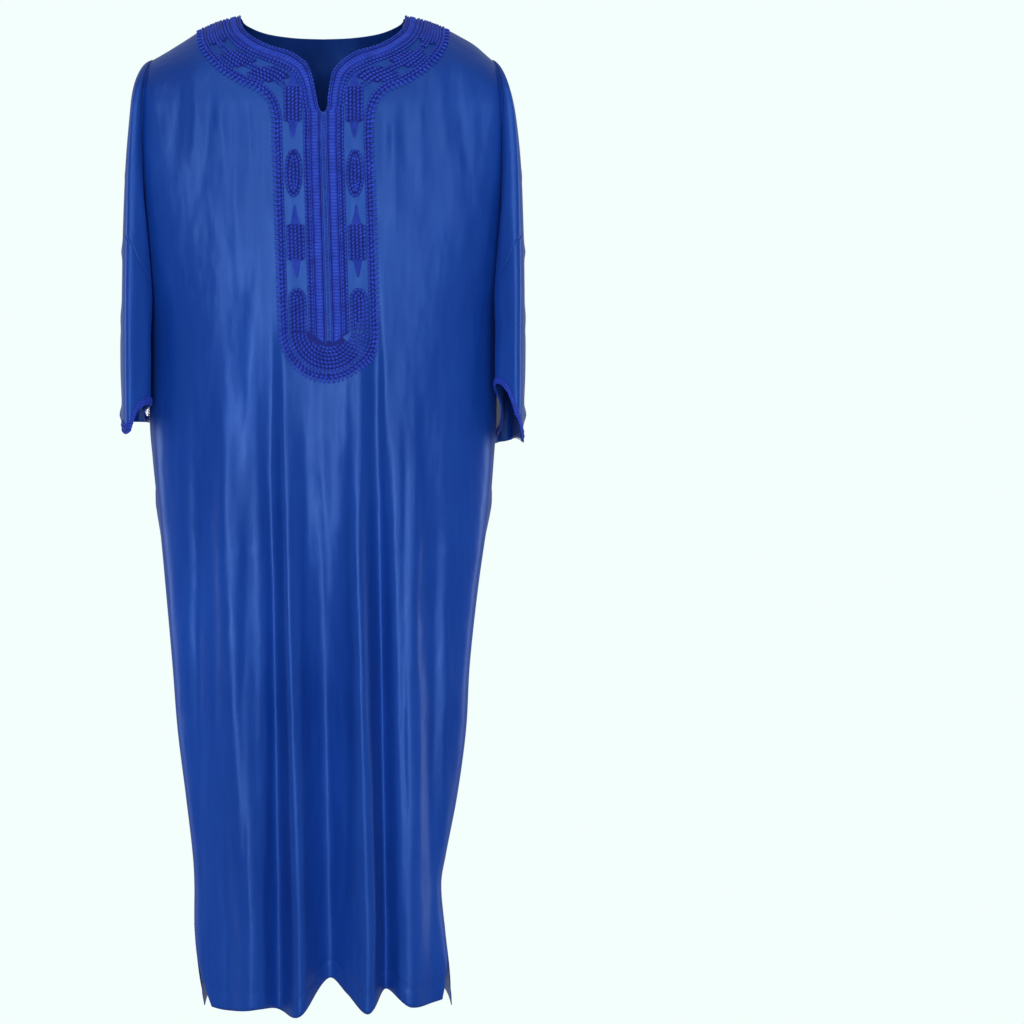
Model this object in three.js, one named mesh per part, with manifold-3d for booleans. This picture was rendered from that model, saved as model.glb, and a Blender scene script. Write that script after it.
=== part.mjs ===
// A long satin thobe of the gandora kind: a front panel, a back panel and two wide half sleeves,
// with braid and cord work round the neck, down the chest and at the cuffs.
// Millimetres, +Z up, -Y to the front, +X to the wearer's left. The origin is level with the
// shoulder line at the neck, midway between the shoulders: there the wearer holds the garment up.
import * as THREE from "three";
import { mergeVertices } from "three/addons/utils/BufferGeometryUtils.js";
import Module from "manifold-3d";

const wasm = await Module();
wasm.setup();

// ---- Driving dimensions ----
const WALL = 1.4; // cloth wall
const SEAM_SHIFT = 0.22; // each panel edge stands back this much, so seams are over 0.3 apart
const TRIM_LIFT = 0.35; // gap between a panel and the braid on it
const TRIM_THICKNESS = 1.3;
const NECK_POINT_X = 114; // half the neck width at the shoulder seam
const RIDGE_Y = 8; // the shoulder seam runs this far behind the middle
const SLIT_BOTTOM_Z = -156; // lower end of the neck slit
const UNDERARM_Z = -435;
const VENT_TOP_Z = -1255; // top of the two side vents
const CUFF_BRAID_HEIGHT = 16;
const OVERARM_SEAM_END_Z = -289; // the dropped sleeve seam on the outside of the arm
const SHOULDER_LINE_Z = -150; // the rows over the shoulder are spread evenly down to here
const FRONT_EDGE_SHARE = 0.25; // how far the sleeve seam has dropped at the arm's front edge

// Body, one row for each height: half widths on the wearer's right and left, the y of the
// middle of the front and back, the y where the front and the back meet the side, and how
// square the front and back quarters are (2 is an ellipse).
const BODY = [
  { z: -62, right: 233, left: 231, front: -147, back: 120, frontSide: -139, backSide: 34, frontN: 3.0, backN: 2.2 },
  { z: -90, right: 236, left: 234, front: -148, back: 126, frontSide: -139, backSide: 34, frontN: 3.0, backN: 2.2 },
  { z: -130, right: 238, left: 236, front: -149, back: 133, frontSide: -138, backSide: 34, frontN: 3.0, backN: 2.2 },
  { z: -190, right: 239, left: 237, front: -150, back: 139, frontSide: -132, backSide: 32, frontN: 3.2, backN: 2.2 },
  { z: -250, right: 238, left: 237, front: -150, back: 143, frontSide: -121, backSide: 27, frontN: 3.4, backN: 2.3 },
  { z: -310, right: 237, left: 237, front: -150, back: 147, frontSide: -104, backSide: 14, frontN: 3.4, backN: 2.4 },
  { z: -371, right: 236, left: 237, front: -150, back: 152, frontSide: -80, backSide: -14, frontN: 3.3, backN: 2.5 },
  { z: -435, right: 236, left: 237, front: -150, back: 157, frontSide: -48, backSide: -48, frontN: 3.2, backN: 2.6 },
  { z: -560, right: 236, left: 236, front: -149, back: 165, frontSide: -62, backSide: -62, frontN: 3.0, backN: 2.7 },
  { z: -620, right: 231, left: 232, front: -148, back: 168, frontSide: -72, backSide: -72, frontN: 3.0, backN: 2.8 },
  { z: -680, right: 224, left: 226, front: -147, back: 170, frontSide: -80, backSide: -80, frontN: 2.9, backN: 2.8 },
  { z: -790, right: 213, left: 210, front: -144, back: 172, frontSide: -88, backSide: -88, frontN: 2.8, backN: 2.8 },
  { z: -890, right: 204, left: 199, front: -141, back: 173, frontSide: -90, backSide: -90, frontN: 2.8, backN: 2.8 },
  { z: -980, right: 197, left: 194, front: -137, back: 172, frontSide: -90, backSide: -90, frontN: 2.8, backN: 2.8 },
  { z: -1070, right: 186, left: 182, front: -133, back: 170, frontSide: -90, backSide: -90, frontN: 2.8, backN: 2.8 },
  { z: -1150, right: 177, left: 167, front: -129, back: 167, frontSide: -88, backSide: -88, frontN: 2.8, backN: 2.8 },
  { z: -1190, right: 175, left: 161, front: -126, back: 166, frontSide: -86, backSide: -86, frontN: 2.8, backN: 2.8 },
  { z: -1250, right: 175, left: 166, front: -122, back: 164, frontSide: -84, backSide: -84, frontN: 2.8, backN: 2.8 },
  { z: -1310, right: 170, left: 173, front: -118, back: 161, frontSide: -84, backSide: -84, frontN: 2.8, backN: 2.8 },
  { z: -1360, right: 162, left: 176, front: -115, back: 157, frontSide: -84, backSide: -84, frontN: 2.8, backN: 2.8 },
];

// Arm, one row for each height: x of the edges and of the left and right outer faces, y of the
// front edge, of the line down the outer face and of the rear edge, and how far the front and
// rear parts of the inner face roll inwards.
const ARM = [
  { z: -62, edge: 232, left: 232, right: 232, front: -150, over: 8, rear: 37, frontRoll: 0, rearRoll: 0 },
  { z: -75, edge: 234, left: 236, right: 243, front: -151, over: 8, rear: 37, frontRoll: 0, rearRoll: 0 },
  { z: -92, edge: 238, left: 242, right: 250, front: -152, over: 8, rear: 37, frontRoll: 0, rearRoll: 0 },
  { z: -118, edge: 243, left: 249, right: 256, front: -153, over: 8, rear: 37, frontRoll: 0, rearRoll: 0 },
  { z: -160, edge: 249, left: 259, right: 260, front: -153, over: 9, rear: 38, frontRoll: 0, rearRoll: 0 },
  { z: -220, edge: 252, left: 267, right: 266, front: -153, over: 12, rear: 38, frontRoll: 0, rearRoll: 0 },
  { z: -297, edge: 253, left: 271, right: 270, front: -155, over: 16, rear: 39, frontRoll: 6, rearRoll: 0 },
  { z: -380, edge: 254, left: 273, right: 272, front: -157, over: 24, rear: 43, frontRoll: 12, rearRoll: 0 },
  { z: -460, edge: 254, left: 273, right: 273, front: -159, over: 34, rear: 49, frontRoll: 17, rearRoll: 3 },
  { z: -543, edge: 254, left: 272, right: 272, front: -161, over: 46, rear: 58, frontRoll: 17, rearRoll: 9 },
  { z: -600, edge: 254, left: 270, right: 270, front: -162, over: 54, rear: 63, frontRoll: 17, rearRoll: 10 },
];
const BODY_END_Z = BODY[0].z; // the shoulder seam ends here and the arm begins
const ARM_SQUARENESS = 3;
const SLEEVE_INNER_X = 243; // the sleeve's inner face, clear of the body
const SLEEVE_INNER_Y = -52;

// Height of the left and right cuff on the way from the middle of the inner face (place 0) by
// the front or rear edge (place 1) to the line down the outer face (place 2).
const CUFF = {
  front: [
    { place: 0, left: -575, right: -562 },
    { place: 0.35, left: -528, right: -544 },
    { place: 0.6, left: -512, right: -540 },
    { place: 0.8, left: -530, right: -552 },
    { place: 1, left: -556, right: -577 },
    { place: 1.3, left: -588, right: -577 },
    { place: 2, left: -585, right: -562 },
  ],
  back: [
    { place: 0, left: -575, right: -562 },
    { place: 0.5, left: -592, right: -564 },
    { place: 1, left: -590, right: -562 },
    { place: 2, left: -585, right: -562 },
  ],
};

// The shoulder seam falls from the neck to the arm.
const RIDGE = [
  { x: 0, left: 15, right: 15 },
  { x: 60, left: 11, right: 11 },
  { x: 114, left: 0, right: 0 },
  { x: 146, left: -9, right: -10 },
  { x: 168, left: -17, right: -20 },
  { x: 189, left: -28, right: -34 },
  { x: 210, left: -41, right: -48 },
  { x: 232, left: -62, right: -62 },
];
const FRONT_CAP = { base: -145, power: 1.9 }; // the front rounds over into the shoulder above base
const BACK_CAP = { base: -190, power: 1.9 };

// Neck edge from its front corner at the slit up to the neck point, and the slit's half widths
// on the wearer's right and left.
const FRONT_NECK = [
  { x: 22, z: -88 },
  { x: 42, z: -73 },
  { x: 73, z: -62 },
  { x: 97, z: -46 },
  { x: 109, z: -29 },
  { x: 114, z: 0 },
];
const BACK_NECK = [
  { x: 0, z: -17 },
  { x: 40, z: -16 },
  { x: 80, z: -12 },
  { x: 106, z: -5 },
  { x: 114, z: 0 },
];
const SLIT = [
  { z: -88, right: 24, left: 16 },
  { z: -100, right: 18, left: 9 },
  { z: -116, right: 13, left: 7 },
  { z: -134, right: 9, left: 6 },
  { z: -151, right: 5, left: 5 },
  { z: SLIT_BOTTOM_Z, right: 0, left: 0 },
];
const SLIT_BLEND = 0.25; // columns nearer the middle than this are pushed aside by the slit
const NECK_SHARE = 0.46; // share of each half's width under the neck edge

// Skirt folds: x at the top and at the hem, height where the fold starts, half width and depth
// (outwards is positive).
const FRONT_FOLDS = [
  { name: "right outer ridge", top: -140, hem: -97, start: -400, half: 34, depth: 12 },
  { name: "right inner valley", top: -72, hem: -60, start: -400, half: 22, depth: -14 },
  { name: "right inner ridge", top: -50, hem: -31, start: -410, half: 24, depth: 14 },
  { name: "middle valley", top: -3, hem: 9, start: -520, half: 34, depth: -24 },
  { name: "left inner ridge", top: 34, hem: 60, start: -410, half: 26, depth: 16 },
  { name: "left inner valley", top: 71, hem: 86, start: -400, half: 18, depth: -16 },
  { name: "left outer ridge", top: 100, hem: 118, start: -400, half: 34, depth: 12 },
];
const BACK_FOLDS = [
  { name: "right back ridge", top: -120, hem: -104, start: -260, half: 40, depth: 11 },
  { name: "right back valley", top: -70, hem: -58, start: -320, half: 28, depth: -12 },
  { name: "middle back ridge", top: -14, hem: -6, start: -280, half: 34, depth: 12 },
  { name: "left back valley", top: 40, hem: 46, start: -340, half: 28, depth: -12 },
  { name: "left back ridge", top: 96, hem: 92, start: -260, half: 40, depth: 11 },
];
const FOLD_RUN = 560; // length over which a fold grows to its full depth

// Hem height of the front panel across its width; the back hem is level.
const FRONT_HEM = [
  { x: -170, z: -1350 },
  { x: -130, z: -1358 },
  { x: -80, z: -1353 },
  { x: -33, z: -1362 },
  { x: 8, z: -1318 },
  { x: 32, z: -1334 },
  { x: 60, z: -1357 },
  { x: 86, z: -1331 },
  { x: 118, z: -1350 },
  { x: 178, z: -1342 },
];
const BACK_HEM_Z = -1360;
const VENT_SPREAD = { front: 0.13, back: 0.02 }; // share of the half width that a vent takes at the hem

// Rows and columns of the panels.
const CAP_ROWS = 8;
const CHEST_ROWS = 6;
const SKIRT_ROWS = 14;
const VENT_ROWS = 3;
const UNDERARM_ROW = CAP_ROWS + CHEST_ROWS;
const VENT_ROW = UNDERARM_ROW + SKIRT_ROWS;
const HEM_ROW = VENT_ROW + VENT_ROWS;
const NECK_COLUMNS = { front: 9, back: 6 }; // in each half, under the neck edge
const RIDGE_COLUMNS = 8; // in each half, under the shoulder seam
const INNER_COLUMNS = 5; // from the underarm line to an edge of the arm
const OUTER_COLUMNS = 5; // from the front edge to the line down the outer face
const REAR_COLUMNS = 3; // from that line to the rear edge
const SLEEVE_ROWS = 6;
const QUARTER_SAMPLES = 48;
const SLOPE_STEP = 0.02; // share to each side over which the slope of a section is taken

// Neck and chest embroidery. Lines start at the shoulder seam and end above the straight sides.
const YOKE_EDGE = [
  { x: 173, z: -23 },
  { x: 168, z: -56 },
  { x: 156, z: -80 },
  { x: 137, z: -101 },
  { x: 112, z: -118 },
  { x: 90, z: -128 },
  { x: 76, z: -141 },
  { x: 69, z: -160 },
  { x: 68, z: -190 },
];
const NECK_BRAID_EDGE = [
  { x: 139, z: -9 },
  { x: 133, z: -38 },
  { x: 120, z: -60 },
  { x: 96, z: -78 },
  { x: 64, z: -92 },
  { x: 43, z: -103 },
  { x: 32, z: -120 },
  { x: 28, z: -150 },
];
const BORDER = { outer: 68, width: 14 }; // toothed braid that edges the yoke and the chest
const BRAID_HALF = 28; // half width of the ribbed braids and cords down the chest
const PLACKET_CENTRE = [
  { z: -200, x: 0.7 },
  { z: -445, x: 8 },
];
const PLACKET_ROUND_Z = -445; // centre of the rounded lower end
const PLACKET_TIP_Z = -464; // point of the middle strip
const FILL = { inner: 28, outer: 51, halfAngle: 62 }; // dense rows round the lower end
const MOTIF_X = 40.5; // motifs stand this far to each side of the middle
const OVALS = [
  { name: "upper_oval", z: -238, across: 11, along: 30 },
  { name: "lower_oval", z: -418, across: 11, along: 24 },
];
const POINTED = [
  { name: "upper_spade", top: -146, bottom: -180, tip: -199, across: 11 },
  { name: "lower_spade", top: -300, bottom: -352, tip: -378, across: 11 },
];
const POINT_SHARE = 0.45; // width of the root of a motif's point
const YOKE_MOTIFS = [
  { name: "yoke_rosette", x: 145, z: -48, across: 7.5, along: 13, lean: 75 },
  { name: "yoke_leaf", x: 122, z: -81, across: 7.5, along: 13, lean: 38 },
  { name: "yoke_bud", x: 84, z: -103, across: 7, along: 13, lean: 12 },
];
const OBLIQUE = THREE.MathUtils.degToRad(50); // braid outlines are cut along this slant
const SLANT_REACH = { far: -440, near: 140 }; // the cut runs between these along the slant
const NECK_CLEARANCE = 40; // the neck braid's outline goes this far past the neck edge
const SHELL_SKIRT_ROWS = 3; // the braids end within this many rows below the underarm
const SHELL_RIDGE_COLUMNS = 6;
const ROUND_STEPS = 8;
const OVAL_STEPS = 16;

// ---- Small helpers ----
const rad = THREE.MathUtils.degToRad;
const clamp = THREE.MathUtils.clamp;
const mix = THREE.MathUtils.lerp;
const smooth = (value, from, to) => THREE.MathUtils.smoothstep(value, from, to);

// Value of one named column at a place along a table, with smooth slopes between the rows.
function at(rows, key, place, name) {
  const last = rows.length - 1;
  const way = Math.sign(rows[last][key] - rows[0][key]);
  if ((place - rows[0][key]) * way <= 0) return rows[0][name];
  if ((place - rows[last][key]) * way >= 0) return rows[last][name];
  let k = 0;
  while ((place - rows[k + 1][key]) * way > 0) k += 1;
  const slope = (i) => {
    const before = rows[Math.max(i - 1, 0)];
    const after = rows[Math.min(i + 1, last)];
    return (after[name] - before[name]) / (after[key] - before[key]);
  };
  const span = rows[k + 1][key] - rows[k][key];
  const f = (place - rows[k][key]) / span;
  const start = rows[k][name] * (2 * f ** 3 - 3 * f ** 2 + 1) + rows[k + 1][name] * (3 * f ** 2 - 2 * f ** 3);
  return start + span * (slope(k) * (f ** 3 - 2 * f ** 2 + f) + slope(k + 1) * (f ** 3 - f ** 2));
}

// Point at a share of the length of a chain of points.
function alongChain(chain, share) {
  const lengths = [0];
  for (let i = 1; i < chain.length; i += 1) {
    lengths.push(lengths[i - 1] + Math.hypot(chain[i].a - chain[i - 1].a, chain[i].b - chain[i - 1].b));
  }
  const wanted = clamp(share, 0, 1) * lengths.at(-1);
  let k = 1;
  while (k < chain.length - 1 && lengths[k] < wanted) k += 1;
  const f = (wanted - lengths[k - 1]) / (lengths[k] - lengths[k - 1] || 1);
  return { a: mix(chain[k - 1].a, chain[k].a, f), b: mix(chain[k - 1].b, chain[k].b, f) };
}

// Share of the way from the shoulder seam to the full depth of the body at height z.
function capShare(cap, z, ridge) {
  if (z <= cap.base) return 1;
  const rise = clamp((z - cap.base) / (ridge - cap.base), 0, 1);
  return (1 - rise ** cap.power) ** (1 / cap.power);
}

const sideOf = (half) => (half > 0 ? "left" : "right");
const ridgeHeight = (x) => at(RIDGE, "x", Math.abs(x), sideOf(x));

// ---- Body surface ----
const FACES = {
  front: { side: "frontSide", square: "frontN", cap: FRONT_CAP, neck: FRONT_NECK, folds: FRONT_FOLDS, out: -1 },
  back: { side: "backSide", square: "backN", cap: BACK_CAP, neck: BACK_NECK, folds: BACK_FOLDS, out: 1 },
};

// Level section of one quarter of the body, from the middle (share 0) to the side (share 1).
const quarterCache = new Map();
function quarterPoint(face, half, z, share) {
  const key = `${face}${half}${z.toFixed(3)}`;
  if (!quarterCache.has(key)) {
    const width = at(BODY, "z", z, half > 0 ? "left" : "right");
    const middle = at(BODY, "z", z, face);
    const side = at(BODY, "z", z, z < UNDERARM_Z ? "frontSide" : FACES[face].side);
    const power = 2 / at(BODY, "z", z, FACES[face].square);
    const chain = [];
    for (let i = 0; i <= QUARTER_SAMPLES; i += 1) {
      const turn = (i / QUARTER_SAMPLES) * (Math.PI / 2);
      const a = width * Math.sin(turn) ** power;
      const b = side + (middle - side) * Math.max(Math.cos(turn), 0) ** power;
      chain.push({ a, b });
    }
    quarterCache.set(key, chain);
  }
  return alongChain(quarterCache.get(key), share);
}

// Where a column of a half panel starts: on the neck edge or on the shoulder seam.
const necks = Object.fromEntries(
  Object.entries(FACES).map(([face, { neck }]) => {
    const points = neck.map((p) => new THREE.Vector2(p.x, p.z));
    return [face, new THREE.SplineCurve(points)];
  }),
);
function columnTop(face, half, share) {
  if (share <= NECK_SHARE) {
    const p = necks[face].getPointAt(share / NECK_SHARE);
    return { x: p.x, z: p.y };
  }
  const end = half > 0 ? BODY[0].left : BODY[0].right;
  const seamEnd = RIDGE.at(-1).x;
  const x = mix(NECK_POINT_X, end, (share - NECK_SHARE) / (1 - NECK_SHARE));
  return { x, z: ridgeHeight((half * x * seamEnd) / mix(seamEnd, end, smooth(x, NECK_POINT_X, end))) };
}

const slitPush = (half, z, share) => at(SLIT, "z", z, sideOf(half)) * Math.max(0, 1 - share / SLIT_BLEND);

// How far the folds move the cloth outwards at x and z.
function foldDepth(face, x, z) {
  let depth = 0;
  for (const fold of FACES[face].folds) {
    const down = clamp((fold.start - z) / FOLD_RUN, 0, 1);
    const centre = mix(fold.top, fold.hem, clamp((fold.start - z) / (fold.start - VENT_TOP_Z), 0, 1));
    const off = Math.abs(x - centre) / fold.half;
    if (off < 1) depth += fold.depth * smooth(down, 0, 1) * Math.cos((off * Math.PI) / 2) ** 2;
  }
  return depth;
}

// Point of the body cloth: half is 1 on the wearer's left, share runs from middle to side.
function bodyPoint(face, half, share, z) {
  const kind = FACES[face];
  const top = columnTop(face, half, share);
  const level = quarterPoint(face, half, z, share);
  const topLevel = quarterPoint(face, half, top.z, share);
  const progress = clamp((top.z - z) / (top.z - SLIT_BOTTOM_Z), 0, 1);
  let x = level.a;
  let extra = top.x - topLevel.a;
  if (face === "front") {
    x += slitPush(half, z, share);
    extra -= slitPush(half, top.z, share);
  }
  x += extra * (1 - progress) ** 2;
  const ridge = share > NECK_SHARE ? top.z : ridgeHeight(x * half);
  let y = RIDGE_Y + (level.b - RIDGE_Y) * capShare(kind.cap, z, ridge);
  const near = quarterPoint(face, half, z, Math.max(share - SLOPE_STEP, 0));
  const far = quarterPoint(face, half, z, Math.min(share + SLOPE_STEP, 1));
  const length = Math.hypot(far.a - near.a, far.b - near.b) || 1;
  const depth = foldDepth(face, x * half, z);
  if (share > 0) x += (depth * Math.abs(far.b - near.b)) / length;
  y += (kind.out * depth * Math.abs(far.a - near.a)) / length;
  return new THREE.Vector3(x * half, y, z);
}

// Height of a row of a column that starts at top and ends at hem.
function rowHeight(row, top, hem) {
  if (row <= CAP_ROWS) {
    const share = 1 - Math.cos((row / CAP_ROWS) * (Math.PI / 2)) ** (2 / FRONT_CAP.power);
    return mix(top, SLIT_BOTTOM_Z, share);
  }
  if (row <= UNDERARM_ROW) return mix(SLIT_BOTTOM_Z, UNDERARM_Z, (row - CAP_ROWS) / CHEST_ROWS);
  if (row <= VENT_ROW) return mix(UNDERARM_Z, VENT_TOP_Z, (row - UNDERARM_ROW) / SKIRT_ROWS);
  return mix(VENT_TOP_Z, hem, (row - VENT_ROW) / VENT_ROWS);
}

function hemHeight(face, half, share) {
  if (face === "back") return BACK_HEM_Z;
  return at(FRONT_HEM, "x", quarterPoint(face, half, BACK_HEM_Z, share).a * half, "z");
}

// One half panel of the body as rows of points from the middle to the side.
function bodyGrid(face, half) {
  const grid = [];
  const neckColumns = NECK_COLUMNS[face];
  for (let row = 0; row <= HEM_ROW; row += 1) {
    const line = [];
    for (let column = 0; column <= neckColumns + RIDGE_COLUMNS; column += 1) {
      const past = Math.max(column - neckColumns, 0) / RIDGE_COLUMNS;
      const full = mix((NECK_SHARE * Math.min(column, neckColumns)) / neckColumns, 1, past);
      const spread = VENT_SPREAD[face] * clamp((row - VENT_ROW) / VENT_ROWS, 0, 1);
      const share = full * (1 - spread);
      const top = columnTop(face, half, share).z;
      line.push(bodyPoint(face, half, share, rowHeight(row, top, hemHeight(face, half, share))));
    }
    grid.push(line);
  }
  return grid;
}

// ---- Arm surface ----
// Row of the arm from x, y on the inner line (place 0) by its front or rear edge (place 1) to the
// line down its outer face (place 2). heightAt gives the height at each place.
function armRow(face, half, { x, y, heightAt }) {
  const front = face === "front";
  const power = 2 / ARM_SQUARENESS;
  const line = [];
  const put = (px, py, pz) => line.push(new THREE.Vector3(px * half, py, pz));
  const tip = (pz) => {
    const cap = FACES[face].cap;
    const depth = at(ARM, "z", pz, front ? "front" : "rear");
    return RIDGE_Y + (depth - RIDGE_Y) * capShare(cap, pz, BODY_END_Z);
  };
  for (let i = 0; i <= INNER_COLUMNS; i += 1) {
    const turn = (i / INNER_COLUMNS) * (Math.PI / 2);
    const pz = heightAt(i / INNER_COLUMNS);
    const roll = at(ARM, "z", pz, front ? "frontRoll" : "rearRoll") * Math.sin(2 * turn) ** 4;
    const edge = Math.max(at(ARM, "z", pz, "edge"), x);
    const cosine = Math.max(Math.cos(turn), 0) ** power;
    put(edge - (edge - x) * cosine - roll, y + (tip(pz) - y) * Math.sin(turn) ** power, pz);
  }
  const columns = front ? OUTER_COLUMNS : REAR_COLUMNS;
  for (let i = 1; i <= columns; i += 1) {
    const turn = (i / columns) * (Math.PI / 2);
    const pz = heightAt(1 + i / columns);
    const edge = Math.max(at(ARM, "z", pz, "edge"), x);
    const outer = Math.max(at(ARM, "z", pz, sideOf(half)), edge);
    const over = at(ARM, "z", pz, "over");
    const cosine = Math.max(Math.cos(turn), 0) ** power;
    put(edge + (outer - edge) * Math.sin(turn) ** power, over + (tip(pz) - over) * cosine, pz);
  }
  return line;
}

// Heights of the line over the shoulder and down the outer face, for the rows of the body.
function overHeight(row) {
  if (row <= CAP_ROWS) return mix(BODY_END_Z, SHOULDER_LINE_Z, row / CAP_ROWS);
  return mix(SHOULDER_LINE_Z, OVERARM_SEAM_END_Z, (row - CAP_ROWS) / CHEST_ROWS);
}

// The part of a body panel that falls over the shoulder, down to the sleeve seam.
function shoulderGrid(face, half) {
  const grid = [];
  for (let row = 0; row <= UNDERARM_ROW; row += 1) {
    const valley = bodyPoint(face, half, 1, rowHeight(row, BODY_END_Z, 0));
    const overZ = overHeight(row);
    const edgeZ = mix(overZ, valley.z, FRONT_EDGE_SHARE);
    const heightAt = (place) => (place < 1 ? mix(valley.z, edgeZ, place) : mix(edgeZ, overZ, place - 1));
    const line = armRow(face, half, { x: valley.x * half, y: valley.y, heightAt });
    line[0].copy(valley);
    grid.push(line);
  }
  return grid;
}

// The sleeve, from the seam to the cuff, as rows right round from the inner face and back.
function sleeveGrid(half) {
  const seam = bodyPoint("front", half, 1, UNDERARM_Z);
  const seamEdgeZ = mix(OVERARM_SEAM_END_Z, UNDERARM_Z, FRONT_EDGE_SHARE);
  const seamHeight = (place) =>
    place < 1 ? mix(UNDERARM_Z, seamEdgeZ, place) : mix(seamEdgeZ, OVERARM_SEAM_END_Z, place - 1);
  const braidShare = CUFF_BRAID_HEIGHT / (OVERARM_SEAM_END_Z - CUFF.front.at(-1).left);
  const steps = [];
  for (let row = 0; row < SLEEVE_ROWS; row += 1) steps.push(row / SLEEVE_ROWS);
  steps.push(1 - braidShare, 1);
  return steps.map((down) => {
    const around = (face) => {
      const cuffHeight = (place) => at(CUFF[face], "place", place, sideOf(half));
      return armRow(face, half, {
        x: mix(seam.x * half, SLEEVE_INNER_X, smooth(down, 0, 0.5)),
        y: mix(seam.y, SLEEVE_INNER_Y, down),
        heightAt: (place) => mix(seamHeight(place), cuffHeight(place), down),
      });
    };
    const line = [...around("front"), ...around("back").reverse().slice(1)];
    if (down === 0) line[0].copy(seam);
    line[line.length - 1] = line[0];
    return line;
  });
}

// ---- From grids of points to closed solids ----
const keyOf = (p) => `${Math.round(p.x * 500)},${Math.round(p.y * 500)},${Math.round(p.z * 500)}`;

// Welds grids into one patch; flip says that a grid's rows and columns turn the other way.
function patchOf(grids) {
  const points = [];
  const index = new Map();
  const faces = [];
  const number = (p) => {
    const key = keyOf(p);
    if (!index.has(key)) {
      index.set(key, points.length);
      points.push(p.clone());
    }
    return index.get(key);
  };
  for (const { grid, flip } of grids) {
    for (let r = 0; r + 1 < grid.length; r += 1) {
      for (let c = 0; c + 1 < grid[r].length; c += 1) {
        const ring = [grid[r][c], grid[r + 1][c], grid[r + 1][c + 1], grid[r][c + 1]].map(number);
        if (flip) ring.reverse();
        for (const corner of [[0, 1, 2], [0, 2, 3]]) {
          const [a, b, d] = corner.map((i) => ring[i]);
          if (a !== b && b !== d && a !== d) faces.push([a, b, d]);
        }
      }
    }
  }
  return { points, faces };
}

// Normals shared by all patches, so that walls meet squarely at seams.
const sharedNormals = new Map();
function gatherNormals(patch) {
  const [ab, ac] = [new THREE.Vector3(), new THREE.Vector3()];
  for (const face of patch.faces) {
    const [a, b, c] = face.map((i) => patch.points[i]);
    const normal = ab.subVectors(b, a).cross(ac.subVectors(c, a)).clone();
    for (const p of [a, b, c]) {
      const key = keyOf(p);
      if (!sharedNormals.has(key)) sharedNormals.set(key, new THREE.Vector3());
      sharedNormals.get(key).add(normal);
    }
  }
}
const normalsOf = (patch) => patch.points.map((p) => sharedNormals.get(keyOf(p)).clone().normalize());

function boundaryEdges(faces) {
  const seen = new Map();
  for (const [a, b, c] of faces) {
    for (const [from, to] of [[a, b], [b, c], [c, a]]) {
      if (seen.has(`${to},${from}`)) seen.delete(`${to},${from}`);
      else seen.set(`${from},${to}`, [from, to]);
    }
  }
  return [...seen.values()];
}

// Moves the edge of a patch back into it, so that neighbours stay apart at the seam.
function partSeams(patch, shift) {
  const edge = new Set(boundaryEdges(patch.faces).flat());
  const sums = new Map();
  for (const face of patch.faces) {
    const middle = new THREE.Vector3();
    for (const i of face) middle.addScaledVector(patch.points[i], 1 / 3);
    for (const i of face.filter((k) => edge.has(k))) {
      if (!sums.has(i)) sums.set(i, new THREE.Vector3());
      sums.get(i).add(middle.clone().sub(patch.points[i]).normalize());
    }
  }
  for (const [i, sum] of sums) patch.points[i].addScaledVector(sum.normalize(), shift);
}

// Closed wall between two distances from a patch, measured along its normals.
function wallOf(patch, normals, low, high) {
  const count = patch.points.length;
  const positions = [];
  for (const lift of [high, low]) {
    patch.points.forEach((p, i) => {
      const q = p.clone().addScaledVector(normals[i], lift);
      positions.push(q.x, q.y, q.z);
    });
  }
  const triangles = [];
  for (const [a, b, c] of patch.faces) triangles.push(a, b, c, c + count, b + count, a + count);
  for (const [a, b] of boundaryEdges(patch.faces)) {
    triangles.push(b, a, a + count, b, a + count, b + count);
  }
  const geometry = new THREE.BufferGeometry();
  geometry.setAttribute("position", new THREE.Float32BufferAttribute(positions, 3));
  geometry.setIndex(triangles);
  return geometry;
}

function solidOf(geometry) {
  const bare = geometry.clone();
  bare.deleteAttribute("normal");
  bare.deleteAttribute("uv");
  const merged = mergeVertices(bare, 1e-3);
  return new wasm.Manifold(
    new wasm.Mesh({
      numProp: 3,
      vertProperties: merged.attributes.position.array,
      triVerts: new Uint32Array(merged.index.array),
    }),
  );
}

function geometryOf(solid) {
  const mesh = solid.getMesh();
  const geometry = new THREE.BufferGeometry();
  geometry.setAttribute("position", new THREE.BufferAttribute(mesh.vertProperties.slice(), 3));
  geometry.setIndex(new THREE.BufferAttribute(mesh.triVerts.slice(), 1));
  return geometry;
}

// ---- Panels and sleeves ----
const panelPatches = {};
for (const face of ["front", "back"]) {
  const grids = [];
  for (const half of [1, -1]) {
    const flip = (face === "front") === half < 0;
    grids.push({ grid: bodyGrid(face, half), flip });
    grids.push({ grid: shoulderGrid(face, half), flip });
  }
  panelPatches[`${face}_panel`] = patchOf(grids);
}
const sleeveGrids = { left: sleeveGrid(1), right: sleeveGrid(-1) };
for (const [name, grid] of Object.entries(sleeveGrids)) {
  panelPatches[`sleeve_${name}`] = patchOf([{ grid, flip: name === "right" }]);
}
for (const patch of Object.values(panelPatches)) gatherNormals(patch);

const SATIN = new THREE.Color(0x2a4fa0);
const BRAID = new THREE.Color(0x3636b4);
const part = new THREE.Group();
part.name = "thobe";
function addPiece(name, geometry, colour, roughness) {
  const material = new THREE.MeshStandardMaterial({ color: colour, roughness, metalness: 0 });
  const mesh = new THREE.Mesh(geometry, material);
  mesh.name = name;
  part.add(mesh);
}

for (const [name, patch] of Object.entries(panelPatches)) {
  const normals = normalsOf(patch);
  const shown = { points: patch.points.map((p) => p.clone()), faces: patch.faces };
  partSeams(shown, SEAM_SHIFT);
  addPiece(name, wallOf(shown, normals, -WALL, 0), SATIN, 0.35);
}

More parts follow.
